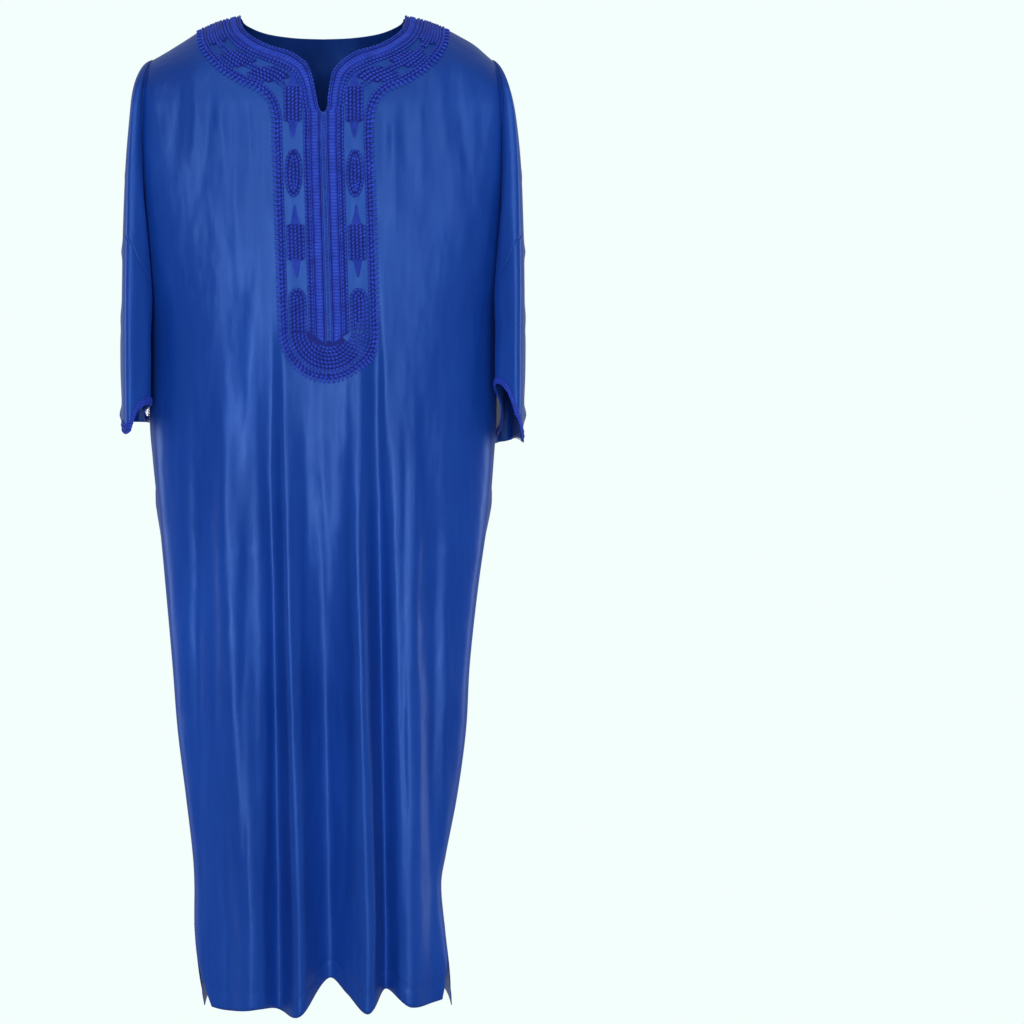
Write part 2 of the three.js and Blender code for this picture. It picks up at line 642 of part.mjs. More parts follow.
// ---- Cuff braid ----
for (const [name, grid] of Object.entries(sleeveGrids)) {
  const band = patchOf([{ grid: grid.slice(-2), flip: name === "right" }]);
  const normals = normalsOf(band);
  partSeams(band, SEAM_SHIFT);
  addPiece(`cuff_braid_${name}`, wallOf(band, normals, TRIM_LIFT, TRIM_LIFT + TRIM_THICKNESS), BRAID, 0.6);
}

// ---- Back neck braid ----
{
  const grids = [1, -1].map((half) => {
    const grid = bodyGrid("back", half).slice(0, 4);
    return { grid: grid.map((line) => line.slice(0, NECK_COLUMNS.back + 1)), flip: half > 0 };
  });
  const band = patchOf(grids);
  const normals = normalsOf(band);
  partSeams(band, SEAM_SHIFT);
  addPiece("back_neck_braid", wallOf(band, normals, TRIM_LIFT, TRIM_LIFT + TRIM_THICKNESS), BRAID, 0.6);
}

// ---- Front braid and motifs ----
// The upper front again, as one shell just above the panel: each braid is cut out of it.
const frontShell = (() => {
  const rows = UNDERARM_ROW + SHELL_SKIRT_ROWS + 1;
  const columns = NECK_COLUMNS.front + SHELL_RIDGE_COLUMNS + 1;
  const grids = [1, -1].map((half) => {
    const grid = bodyGrid("front", half).slice(0, rows);
    return { grid: grid.map((line) => line.slice(0, columns)), flip: half < 0 };
  });
  const patch = patchOf(grids);
  const normals = normalsOf(patch);
  partSeams(patch, SEAM_SHIFT);
  return solidOf(wallOf(patch, normals, TRIM_LIFT, TRIM_LIFT + TRIM_THICKNESS));
})();

// Outlines are drawn on a slanted plane that faces forwards and up: u is x, v runs down it.
function slanted(x, z) {
  const side = sideOf(x);
  const width = at(BODY, "z", z, side);
  const square = at(BODY, "z", z, "frontN");
  const edge = at(BODY, "z", z, "frontSide");
  const across = Math.min(Math.abs(x) / width, 1) ** square;
  const level = edge + (at(BODY, "z", z, "front") - edge) * (1 - across) ** (1 / square);
  const y = RIDGE_Y + (level - RIDGE_Y) * capShare(FRONT_CAP, z, Math.max(ridgeHeight(x), z));
  return new THREE.Vector2(x, y * Math.sin(OBLIQUE) + z * Math.cos(OBLIQUE));
}
const centreX = (z) => at(PLACKET_CENTRE, "z", z, "x");
const TO_WORLD = new THREE.Matrix4().makeBasis(
  new THREE.Vector3(1, 0, 0),
  new THREE.Vector3(0, Math.sin(OBLIQUE), Math.cos(OBLIQUE)),
  new THREE.Vector3(0, -Math.cos(OBLIQUE), Math.sin(OBLIQUE)),
);

function addCutOut(name, outline) {
  const depth = SLANT_REACH.near - SLANT_REACH.far;
  const prism = new THREE.ExtrudeGeometry(new THREE.Shape(outline), { depth, bevelEnabled: false });
  prism.translate(0, 0, SLANT_REACH.far).applyMatrix4(TO_WORLD);
  addPiece(name, geometryOf(frontShell.intersect(solidOf(prism))), BRAID, 0.6);
}

// One side of a line that runs from the shoulder round the yoke, down the chest and round the
// lower end to the middle, moved sideways by a distance, towards the neck if it is negative.
function yokeLine(half, yoke, radius, distance) {
  const line = yoke.map(({ x, z }) => new THREE.Vector2(x * half, z));
  for (let step = 0; step <= ROUND_STEPS; step += 1) {
    const turn = (step / ROUND_STEPS) * (Math.PI / 2);
    const x = centreX(PLACKET_ROUND_Z) + half * radius * Math.cos(turn);
    line.push(new THREE.Vector2(x, PLACKET_ROUND_Z - radius * Math.sin(turn)));
  }
  return line.map((p, i) => {
    const along = new THREE.Vector2().subVectors(line[Math.min(i + 1, line.length - 1)], line[Math.max(i - 1, 0)]);
    const aside = new THREE.Vector2(-along.y, along.x).setLength(distance * half);
    return slanted(p.x + aside.x, p.y + aside.y);
  });
}
const both = (make) => [...make(1), ...make(-1).reverse().slice(1)];

{
  const outer = both((half) => yokeLine(half, YOKE_EDGE, BORDER.outer, 0));
  const inner = both((half) => yokeLine(half, YOKE_EDGE, BORDER.outer, -BORDER.width));
  addCutOut("border_braid", [...outer, ...inner.reverse()]);

  const edge = (half) => [
    ...NECK_BRAID_EDGE.map(({ x, z }) => slanted(x * half, z)),
    slanted(centreX(PLACKET_ROUND_Z) + half * BRAID_HALF, PLACKET_ROUND_Z),
    slanted(centreX(PLACKET_ROUND_Z), PLACKET_TIP_Z),
  ];
  const past = new THREE.Vector2(0, NECK_CLEARANCE);
  const tops = [-1, 1].map((half) => edge(half)[0].clone().add(past));
  addCutOut("neck_braid", [...both(edge), ...tops]);

  const crescent = [];
  for (const [radius, way] of [[FILL.outer, 1], [FILL.inner, -1]]) {
    for (let step = 0; step <= 2 * ROUND_STEPS; step += 1) {
      const turn = rad(-90 + way * FILL.halfAngle * (step / ROUND_STEPS - 1));
      const x = centreX(PLACKET_ROUND_Z) + radius * Math.cos(turn);
      crescent.push(slanted(x, PLACKET_ROUND_Z + radius * Math.sin(turn)));
    }
  }
  addCutOut("lower_fill", crescent);
}

for (const [side, half] of [["left", 1], ["right", -1]]) {
  for (const { name, z, across, along } of OVALS) {
    const outline = [];
    for (let step = 0; step < OVAL_STEPS; step += 1) {
      const turn = (step / OVAL_STEPS) * Math.PI * 2;
      const height = z + along * Math.sin(turn);
      outline.push(slanted(centreX(height) + half * MOTIF_X + across * Math.cos(turn), height));
    }
    addCutOut(`${name}_${side}`, outline);
  }
  for (const { name, top, bottom, tip, across } of POINTED) {
    const corners = [
      [-across, top],
      [across, top],
      [across, bottom],
      [across * POINT_SHARE, bottom],
      [0, tip],
      [-across * POINT_SHARE, bottom],
      [-across, bottom],
    ];
    addCutOut(`${name}_${side}`, corners.map(([x, z]) => slanted(centreX(z) + half * MOTIF_X + x, z)));
  }
  for (const { name, x, z, across, along, lean } of YOKE_MOTIFS) {
    const middle = slanted(x * half, z);
    const outline = [];
    for (let step = 0; step < OVAL_STEPS; step += 1) {
      const turn = (step / OVAL_STEPS) * Math.PI * 2;
      const p = new THREE.Vector2(along * Math.cos(turn), across * Math.sin(turn));
      outline.push(p.rotateAround(new THREE.Vector2(), rad(lean * half)).add(middle));
    }
    addCutOut(`${name}_${side}`, outline);
  }
}

export default part;
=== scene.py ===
import math

import bpy
import numpy as np
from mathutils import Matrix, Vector
from mathutils.bvhtree import BVHTree


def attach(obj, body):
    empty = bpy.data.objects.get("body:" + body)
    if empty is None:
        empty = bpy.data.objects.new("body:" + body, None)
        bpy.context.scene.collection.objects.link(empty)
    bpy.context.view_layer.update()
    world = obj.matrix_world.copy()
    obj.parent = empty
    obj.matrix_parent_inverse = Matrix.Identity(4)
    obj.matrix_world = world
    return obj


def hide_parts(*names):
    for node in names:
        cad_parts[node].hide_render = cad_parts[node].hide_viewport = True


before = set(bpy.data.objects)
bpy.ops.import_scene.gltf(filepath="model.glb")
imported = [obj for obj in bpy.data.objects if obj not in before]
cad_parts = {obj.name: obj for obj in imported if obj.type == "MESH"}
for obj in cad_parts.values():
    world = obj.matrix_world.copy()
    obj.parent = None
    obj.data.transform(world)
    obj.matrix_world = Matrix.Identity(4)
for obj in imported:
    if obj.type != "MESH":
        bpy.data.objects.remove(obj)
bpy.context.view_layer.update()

# Everything is worked out in millimetres and written to the meshes in metres.
# +Z up, -Y to the front, +X to the wearer's left; half is 1 on the wearer's left and -1 on the right.

# ---------------------------------------------------------------- sizes
NECK_POINT_X = 114
RIDGE_Y = 8
SLIT_TOP_Z = -88
SLIT_BOTTOM_Z = -156
SHOULDER_END_X = 232  # where the shoulder meets the arm
SHOULDER_END_Z = -62.0
UNDERARM_Z = -435
VENT_TOP_Z = -1255
CUFF_BRAID_HEIGHT = 16
OVERARM_SEAM_END_Z = -289
SHOULDER_LINE_Z = -150
FRONT_EDGE_SHARE = 0.25
ARM_SQUARENESS = 3
SLEEVE_INNER_X = 243
SLEEVE_INNER_Y = -52
SLIT_BLEND = 0.25
NECK_SHARE = 0.46
FOLD_RUN = 560
BACK_HEM_Z = -1360
CAP_ROWS, CHEST_ROWS, SKIRT_ROWS, VENT_ROWS = 8, 6, 14, 3
UNDERARM_ROW = CAP_ROWS + CHEST_ROWS
VENT_ROW = UNDERARM_ROW + SKIRT_ROWS
HEM_ROW = VENT_ROW + VENT_ROWS
CLOTH = 1.1  # thickness of the cloth shell
HEM_BAND = 24  # height of the stitched hem
BODY_WEAVE, ARM_WEAVE, SLEEVE_WEAVE = 330, 100, 500  # lengths round each piece, for the run of its threads
STITCH_LEAN, STITCH_BEAD = 0.12, 0.38  # shape of the loops of a chain stitch
WELD_GRID = 50  # points closer than a fiftieth of a millimetre are one
MM = 0.001
SIDES = (("left", 1), ("right", -1))


class Table:
    """Rows with named columns; call it for a column's value at a place along the first column."""

    def __init__(self, names, rows):
        names = names.split()
        rows = sorted(rows, key=lambda row: row[0])
        self.column = {name: np.array([row[i] for row in rows], float) for i, name in enumerate(names)}
        self.key = self.column[names[0]]

    def __call__(self, name, place):
        k, v = self.key, self.column[name]
        place = np.clip(np.asarray(place, float), k[0], k[-1])
        low = np.maximum(np.arange(len(k)) - 1, 0)
        high = np.minimum(np.arange(len(k)) + 1, len(k) - 1)
        slope = (v[high] - v[low]) / (k[high] - k[low])
        i = np.clip(np.searchsorted(k, place, side="right") - 1, 0, len(k) - 2)
        span = k[i + 1] - k[i]
        f = (place - k[i]) / span
        start = v[i] * (2 * f**3 - 3 * f**2 + 1) + v[i + 1] * (3 * f**2 - 2 * f**3)
        return start + span * (slope[i] * (f**3 - 2 * f**2 + f) + slope[i + 1] * (f**3 - f**2))


BODY = Table("z right left front back frontSide backSide frontN backN", [
    (-62, 233, 231, -147, 120, -139, 34, 3.0, 2.2),
    (-90, 236, 234, -148, 126, -139, 34, 3.0, 2.2),
    (-130, 238, 236, -149, 133, -138, 34, 3.0, 2.2),
    (-190, 239, 237, -150, 139, -132, 32, 3.2, 2.2),
    (-250, 238, 237, -150, 143, -121, 27, 3.4, 2.3),
    (-310, 237, 237, -150, 147, -104, 14, 3.4, 2.4),
    (-371, 236, 237, -150, 152, -80, -14, 3.3, 2.5),
    (-435, 236, 237, -150, 157, -48, -48, 3.2, 2.6),
    (-560, 236, 236, -149, 165, -62, -62, 3.0, 2.7),
    (-620, 231, 232, -148, 168, -72, -72, 3.0, 2.8),
    (-680, 224, 226, -147, 170, -80, -80, 2.9, 2.8),
    (-790, 213, 210, -144, 172, -88, -88, 2.8, 2.8),
    (-890, 204, 199, -141, 173, -90, -90, 2.8, 2.8),
    (-980, 197, 194, -137, 172, -90, -90, 2.8, 2.8),
    (-1070, 186, 182, -133, 170, -90, -90, 2.8, 2.8),
    (-1150, 177, 167, -129, 167, -88, -88, 2.8, 2.8),
    (-1190, 175, 161, -126, 166, -86, -86, 2.8, 2.8),
    (-1250, 175, 166, -122, 164, -84, -84, 2.8, 2.8),
    (-1310, 170, 173, -118, 161, -84, -84, 2.8, 2.8),
    (-1360, 162, 176, -115, 157, -84, -84, 2.8, 2.8),
])
ARM = Table("z edge left right front over rear frontRoll rearRoll", [
    (-62, 232, 232, 232, -150, 8, 37, 0, 0),
    (-75, 234, 236, 243, -151, 8, 37, 0, 0),
    (-92, 238, 242, 250, -152, 8, 37, 0, 0),
    (-118, 243, 249, 256, -153, 8, 37, 0, 0),
    (-160, 249, 259, 260, -153, 9, 38, 0, 0),
    (-220, 252, 267, 266, -153, 12, 38, 0, 0),
    (-297, 253, 271, 270, -155, 16, 39, 6, 0),
    (-380, 254, 273, 272, -157, 24, 43, 12, 0),
    (-460, 254, 273, 273, -159, 34, 49, 17, 3),
    (-543, 254, 272, 272, -161, 46, 58, 17, 9),
    (-600, 254, 270, 270, -162, 54, 63, 17, 10),
])
CUFF = {
    "front": Table("place left right", [
        (0, -575, -562), (0.35, -528, -544), (0.6, -512, -540), (0.8, -530, -552), (1, -556, -577),
        (1.3, -588, -577), (2, -585, -562),
    ]),
    "back": Table("place left right", [(0, -575, -562), (0.5, -592, -564), (1, -590, -562), (2, -585, -562)]),
}
RIDGE = Table("x left right", [
    (0, 15, 15), (60, 11, 11), (114, 0, 0), (146, -9, -10),
    (168, -17, -20), (189, -28, -34), (210, -41, -48), (232, -62, -62),
])
CAP = {"front": (-145, 1.9), "back": (-190, 1.9)}  # height below which the face is upright, and power
NECK = {
    "front": [(22, -88), (42, -73), (73, -62), (97, -46), (109, -29), (114, 0)],
    "back": [(0, -17), (40, -16), (80, -12), (106, -5), (114, 0)],
}
SLIT = Table("z right left", [
    (-88, 24, 16), (-100, 18, 9), (-116, 13, 7), (-134, 9, 6), (-151, 5, 5), (-156, 0, 0),
])
HEM = Table("x z", [
    (-170, -1350), (-130, -1358), (-80, -1353), (-33, -1362), (8, -1318), (32, -1334), (60, -1357),
    (86, -1331), (118, -1350), (178, -1342),
])
VENT_SPREAD = {"front": 0.13, "back": 0.02}

# Folds of the skirt: x at the top and at the hem, height where the fold starts, half width, depth.
FOLDS = {
    "front": [
        (-140, -97, -400, 34, 12), (-72, -60, -400, 22, -14), (-50, -31, -410, 24, 14),
        (-3, 9, -520, 34, -24), (34, 60, -410, 26, 16), (71, 86, -400, 18, -16), (100, 118, -400, 34, 12),
    ],
    "back": [
        (-120, -104, -260, 40, 11), (-70, -58, -320, 28, -12), (-14, -6, -280, 34, 12),
        (40, 46, -340, 28, -12), (96, 92, -260, 40, 11),
    ],
}

# Finer creases, listed one by one. x and z where each starts and ends, half width, depth (outwards is
# positive), and how sharp its crest is (2 soft, 1 sharp).
CREASES = {
    "front": [
        # drag lines that run down from the embroidery
        (-52, -392, -50, -1090, 9, 3.6, 1.4), (-88, -300, -112, -900, 16, 2.2, 1.6),
        (-70, -420, -70, -820, 9, -2.6, 1.4), (-22, -520, -20, -1300, 9, -2.4, 1.5),
        (2, -530, 6, -980, 10, 2.0, 1.6), (30, -500, 31, -1320, 8, -3.0, 1.4),
        (47, -420, 54, -1100, 9, 3.0, 1.4), (80, -380, 94, -1150, 8, 2.6, 1.3),
        (66, -320, 72, -900, 9, -2.2, 1.4), (-128, -470, -138, -1250, 15, 3.6, 1.7),
        (-104, -640, -106, -1330, 8, -2.0, 1.4), (-150, -700, -152, -1290, 9, 1.5, 1.5),
        (122, -520, 130, -1270, 9, 2.4, 1.5), (106, -540, 111, -1200, 7, -2.6, 1.4),
        (150, -610, 146, -1290, 10, -2.2, 1.5), (166, -700, 160, -1200, 8, 1.6, 1.5),
        (-172, -760, -160, -1300, 8, -1.8, 1.5), (14, -900, 20, -1330, 7, 1.6, 1.3),
        (-42, -940, -44, -1330, 6, 1.5, 1.3), (66, -980, 70, -1340, 7, 1.6, 1.3),
        (-70, -1000, -76, -1330, 6, -1.3, 1.4), (-77, -640, -73, -1340, 10, 4.2, 1.5),
        (-36, -600, -37, -1090, 8, -2.6, 1.5), (-168, -560, -172, -1000, 10, -2.4, 1.6),
        # short pleats under the yoke
        (-168, -112, -172, -240, 8, 1.3, 1.5), (-150, -118, -160, -290, 8, -1.0, 1.5),
        (-134, -126, -128, -330, 10, 1.4, 1.5), (-112, -140, -116, -360, 9, 1.5, 1.5),
        (-96, -146, -94, -260, 6, -0.9, 1.4), (80, -150, 78, -260, 6, -1.0, 1.4),
        (94, -140, 97, -330, 8, 1.6, 1.4), (108, -134, 114, -250, 6, -0.8, 1.4),
        (126, -126, 131, -290, 8, 1.3, 1.4), (152, -112, 164, -230, 7, 0.9, 1.4),
        (172, -100, 190, -240, 9, -1.3, 1.5), (-186, -104, -198, -250, 8, -1.2, 1.5),
        # slack lines across the chest towards the underarm
        (-84, -420, -205, -372, 14, -0.6, 1.8), (196, -386, 236, -362, 7, -1.4, 1.4),
        (-150, -448, -224, -470, 10, -0.7, 1.6),
        # pressed fold line across the skirt
        (-146, -752, 8, -712, 4, 1.5, 1.1), (8, -712, 150, -736, 4, 1.5, 1.1),
        (150, -736, 214, -728, 4, 1.2, 1.1),
    ],
    "back": [
        (-150, -230, -140, -1000, 16, 2.2, 1.6), (-92, -180, -88, -760, 10, -1.8, 1.5),
        (-48, -250, -40, -1150, 12, 2.2, 1.5), (18, -200, 22, -980, 10, -1.8, 1.5),
        (66, -240, 70, -1260, 12, 2.2, 1.5), (120, -210, 118, -860, 10, -1.8, 1.5),
        (158, -300, 150, -1180, 12, 2.0, 1.6), (-120, -800, -116, -1330, 8, -1.8, 1.4),
        (-24, -760, -20, -1340, 8, -2.0, 1.4), (44, -840, 46, -1330, 8, 1.8, 1.4),
        (98, -900, 100, -1340, 8, -1.8, 1.4), (-76, -900, -74, -1340, 7, 1.7, 1.3),
        (-70, -34, -66, -190, 8, 1.2, 1.5), (54, -36, 50, -180, 8, 1.2, 1.5), (0, -30, 2, -200, 9, -1.0, 1.6),
        (-150, -730, 20, -716, 5, 0.9, 1.2), (20, -716, 170, -738, 5, 0.9, 1.2),
    ],
}
# Creases seen from the side, by y and z: on the skirt's side below the arm.
SIDE_CREASES = [
    (-98, -470, -60, -1240, 10, -3.0, 1.5), (60, -640, 72, -1350, 7, 3.0, 1.1),
    (20, -500, 34, -1300, 14, -4.0, 1.6), (-14, -640, -6, -1330, 13, 3.2, 1.6),
    (-52, -700, -40, -1330, 11, -3.0, 1.5), (104, -420, 110, -1330, 12, -3.0, 1.6),
    (134, -300, 138, -1300, 11, 2.4, 1.6), (-74, -800, -70, -1240, 9, 2.0, 1.5),
    (118, -300, 121, -1320, 7, 3.2, 1.2), (88, -760, 92, -1290, 9, -2.4, 1.5),
    # the swag that hangs below the sleeve
    (-60, -590, -16, -726, 19, -4.6, 1.8), (-38, -690, 30, -760, 19, -4.0, 1.8),
    (0, -752, 76, -728, 19, -3.6, 1.8), (48, -756, 102, -600, 19, -4.6, 1.8),
    (-72, -640, -24, -782, 17, 4.2, 1.8), (-44, -750, 24, -812, 17, 3.8, 1.8),
    (0, -806, 84, -772, 17, 3.2, 1.8), (60, -796, 114, -650, 15, 3.4, 1.8),
    (-20, -630, 24, -690, 14, 3.0, 1.8),
    # pressed fold lines
    (-66, -834, 40, -820, 4, 2.4, 1.1), (34, -821, 118, -808, 4, 2.2, 1.1),
    (130, -530, 168, -556, 4, 1.8, 1.2),
]
# Creases on the arms, by y and z on the outer face.
ARM_CREASES = [
    (-118, -260, -20, -236, 11, -2.2, 1.6), (-146, -330, 30, -352, 9, 1.8, 1.5),
    (-132, -446, 20, -404, 10, -1.8, 1.6), (-60, -520, 52, -470, 9, 1.5, 1.6),
    (-40, -80, -58, -250, 13, 2.2, 1.7), (-96, -100, -104, -300, 13, -2.0, 1.7),
    (-4, -110, 0, -300, 9, -1.8, 1.5), (22, -120, 26, -330, 8, 2.0, 1.4),
    (-120, -380, -110, -560, 12, 1.8, 1.7), (-64, -400, -60, -585, 12, -1.6, 1.7),
    (0, -380, 8, -580, 11, 1.6, 1.7), (22, -84, -84, -300, 22, 4.6, 1.8),
    (34, -170, -46, -336, 17, -4.0, 1.8), (-60, -66, -112, -190, 15, -3.0, 1.8),
    (-124, -560, -30, -534, 12, 4.0, 1.6), (-44, -536, 76, -500, 12, 3.6, 1.6),
    (-112, -524, 40, -478, 13, -3.4, 1.7), (-126, -410, -40, -350, 13, -3.0, 1.7),
    (-30, -450, 70, -424, 12, 3.2, 1.7),
]

YOKE_EDGE = [
    (173, -23), (168, -56), (156, -80), (137, -101), (112, -118), (90, -128), (76, -141), (69, -160),
    (68, -190),
]
NECK_BRAID_EDGE = [
    (139, -9), (133, -38), (120, -60), (96, -78), (64, -92), (43, -103), (32, -120), (28, -150),
]
BORDER_OUTER, BORDER_WIDTH = 68, 14
TOOTH_PITCH, TOOTH_LENGTH = 6.4, 6.6
BRAID_HALF = 28
NECK_BRAID_SPLIT_X = 46  # where the neck braid turns down beside the slit
NECK_STATIONS = 150
CENTRE = Table("z x", [(-200, 0.7), (-445, 8)])
ROUND_Z = -445
ROUND_X = float(CENTRE("x", ROUND_Z))
TIP_Z = -464
MOTIF_X = 40.5
OVAL_ROWS = (10.0, 5.0)
YOKE_MOTIFS = (("yoke_rosette", 0.0, 0.24), ("yoke_leaf", 0.34, 0.52), ("yoke_bud", 0.60, 0.78))
SLANT = math.radians(50)


def smooth(value, low=0.0, high=1.0):
    f = np.clip((np.asarray(value, float) - low) / (high - low), 0, 1)
    return f * f * (3 - 2 * f)


def mix(a, b, f):
    return a + (b - a) * f


def unit(vectors):
    return vectors / np.maximum(np.linalg.norm(vectors, axis=-1, keepdims=True), 1e-9)


def run_of(points):
    """Length along a line at each of its points."""
    return np.concatenate([[0], np.cumsum(np.linalg.norm(np.diff(points, axis=0), axis=1))])


def pairs(x, z):
    return np.stack([x, z], axis=1)


def side_of(half):
    return "left" if half > 0 else "right"


# ---------------------------------------------------------------- surface of the garment
TURNS = np.linspace(0, math.pi / 2, 121)


def quarter(face, half, z, share):
    """Level section of a quarter of the body at a share of its length, from the middle to the side."""
    z, share = np.broadcast_arrays(np.asarray(z, float), np.asarray(share, float))
    shape = z.shape
    z, share = z.ravel(), np.clip(share.ravel(), 0, 1)
    width = BODY(side_of(half), z)
    middle = BODY(face, z)
    side = np.where(z < UNDERARM_Z, BODY("frontSide", z), BODY(face + "Side", z))
    power = BODY(face + "N", z)
    u = np.sin(TURNS)[None] ** (2 / power)[:, None]
    w = np.maximum(np.cos(TURNS), 0)[None] ** (2 / power)[:, None]
    deep = (middle - side)[:, None]
    steps = np.hypot(np.diff(u, axis=1) * width[:, None], np.diff(w, axis=1) * deep)
    length = np.concatenate([np.zeros((len(z), 1)), np.cumsum(steps, axis=1)], axis=1)
    wanted = share * length[:, -1]
    k = np.clip((length < wanted[:, None]).sum(axis=1), 1, len(TURNS) - 1)
    row = np.arange(len(z))
    f = (wanted - length[row, k - 1]) / np.maximum(length[row, k] - length[row, k - 1], 1e-9)
    um, wm = mix(u[row, k - 1], u[row, k], f), mix(w[row, k - 1], w[row, k], f)
    flat = um < wm
    u2 = np.where(flat, um, np.maximum(1 - wm**power, 0) ** (1 / power))
    w2 = np.where(flat, np.maximum(1 - um**power, 0) ** (1 / power), wm)
    return (u2 * width).reshape(shape), (side + w2 * (middle - side)).reshape(shape)


def spline(points, samples=60):
    """Even points along a uniform Catmull-Rom curve, as (share of length, points)."""
    p = np.array(points, float)
    out = []
    for i in range(len(p) - 1):
        p0, p1, p2, p3 = p[max(i - 1, 0)], p[i], p[i + 1], p[min(i + 2, len(p) - 1)]
        t = np.linspace(0, 1, samples, endpoint=False)[:, None]
        v0, v1 = (p2 - p0) / 2, (p3 - p1) / 2
        out.append((2 * p1 - 2 * p2 + v0 + v1) * t**3 + (-3 * p1 + 3 * p2 - 2 * v0 - v1) * t**2 + v0 * t + p1)
    out.append(p[-1:])
    out = np.concatenate(out)
    length = run_of(out)
    return length / length[-1], out


def along(curve, share):
    s, p = curve
    return np.stack([np.interp(share, s, p[:, i]) for i in range(p.shape[1])], axis=-1)


NECK_CURVE = {face: spline(points, 120) for face, points in NECK.items()}


def column_top(face, half, share):
    share = np.asarray(share, float)
    neck = along(NECK_CURVE[face], np.clip(share / NECK_SHARE, 0, 1))
    end = BODY.column[side_of(half)][-1]
    x = mix(NECK_POINT_X, end, np.clip((share - NECK_SHARE) / (1 - NECK_SHARE), 0, 1))
    z = RIDGE(side_of(half), x * SHOULDER_END_X / mix(SHOULDER_END_X, end, smooth(x, NECK_POINT_X, end)))
    under = share <= NECK_SHARE
    return np.where(under, neck[..., 0], x), np.where(under, neck[..., 1], z)


def cap_share(face, z, ridge):
    base, power = CAP[face]
    rise = np.clip((z - base) / (ridge - base), 0, 1)
    return (1 - rise**power) ** (1 / power)


def fold_depth(face, x, z):
    depth = np.zeros(np.broadcast(x, z).shape)
    for top, hem, start, half, deep in FOLDS[face]:
        down = np.clip((start - z) / FOLD_RUN, 0, 1)
        centre = mix(top, hem, np.clip((start - z) / (start - VENT_TOP_Z), 0, 1))
        off = np.clip(np.abs(x - centre) / half, 0, 1)
        depth += deep * smooth(down) * np.cos(off * math.pi / 2) ** 2
    return depth


def crease_depth(rows, a, z):
    """Sum of the creases that run between two points of a view, at a (x or y) and z."""
    depth = np.zeros(np.broadcast(a, z).shape)
    for a0, z0, a1, z1, half, deep, sharp in rows:
        long = math.hypot(a1 - a0, z1 - z0)
        ta, tz = (a1 - a0) / long, (z1 - z0) / long
        run = (a - a0) * ta + (z - z0) * tz
        wander = 0.8 * np.sin(run / 37 + a0) + 1.6 * np.sin(run / 91 + z0)
        off = np.abs((a - a0) * tz - (z - z0) * ta + wander)
        ends = smooth(run, -0.06 * long, 0.28 * long) * (1 - smooth(run, 0.62 * long, 1.05 * long))
        uneven = 1 + 0.18 * np.sin(run / 67 + half + a0)
        depth += deep * ends * uneven * np.exp(-((off / half) ** sharp) * 1.2)
    return depth


def slit_push(half, z, share):
    return SLIT(side_of(half), z) * np.maximum(0, 1 - share / SLIT_BLEND)


def body_point(face, half, share, z):
    share, z = np.broadcast_arrays(np.asarray(share, float), np.asarray(z, float))
    top_x, top_z = column_top(face, half, share)
    a, b = quarter(face, half, z, share)
    ta, _ = quarter(face, half, top_z, share)
    progress = np.clip((top_z - z) / (top_z - SLIT_BOTTOM_Z), 0, 1)
    x = a.copy()
    extra = top_x - ta
    if face == "front":
        x += slit_push(half, z, share)
        extra = extra - slit_push(half, top_z, share)
    x += extra * (1 - progress) ** 2
    ridge = np.where(share > NECK_SHARE, top_z, RIDGE(side_of(half), np.abs(x)))
    y = RIDGE_Y + (b - RIDGE_Y) * cap_share(face, z, np.maximum(ridge, z))
    na, nb = quarter(face, half, z, np.maximum(share - 0.02, 0))
    fa, fb = quarter(face, half, z, np.minimum(share + 0.02, 1))
    length = np.maximum(np.hypot(fa - na, fb - nb), 1e-6)
    depth = fold_depth(face, x * half, z)
    x = x + np.where(share > 0, depth * np.abs(fb - nb) / length, 0)
    y = y + (-1 if face == "front" else 1) * depth * np.abs(fa - na) / length
    return np.stack([x * half, y, z], axis=-1)


def row_height(row, top, hem):
    share = 1 - np.cos(np.clip(row / CAP_ROWS, 0, 1) * math.pi / 2) ** (2 / CAP["front"][1])
    z = mix(top, SLIT_BOTTOM_Z, share)
    z = np.where(row > CAP_ROWS, mix(SLIT_BOTTOM_Z, UNDERARM_Z, (row - CAP_ROWS) / CHEST_ROWS), z)
    z = np.where(row > UNDERARM_ROW, mix(UNDERARM_Z, VENT_TOP_Z, (row - UNDERARM_ROW) / SKIRT_ROWS), z)
    return np.where(row > VENT_ROW, mix(VENT_TOP_Z, hem, (row - VENT_ROW) / VENT_ROWS), z)


ROWS = np.concatenate([
    np.linspace(0, CAP_ROWS, 40, endpoint=False),
    np.linspace(CAP_ROWS, UNDERARM_ROW, 52, endpoint=False),
    np.linspace(UNDERARM_ROW, VENT_ROW, 142, endpoint=False),
    np.linspace(VENT_ROW, HEM_ROW, 20),
])
UPPER_ROWS = ROWS[ROWS <= UNDERARM_ROW]
SHARES = np.concatenate([
    np.linspace(0, NECK_SHARE, 34, endpoint=False),
    np.linspace(NECK_SHARE, 1, 37),
])


def body_grid(face, half):
    row, share = np.meshgrid(ROWS, SHARES, indexing="ij")
    share = share * (1 - VENT_SPREAD[face] * np.clip((row - VENT_ROW) / VENT_ROWS, 0, 1))
    _, top = column_top(face, half, share)
    if face == "front":
        a, _ = quarter(face, half, np.full(share.shape, BACK_HEM_Z), share)
        hem = HEM("z", a * half)
    else:
        hem = np.full(share.shape, float(BACK_HEM_Z))
    return body_point(face, half, share, row_height(row, top, hem))


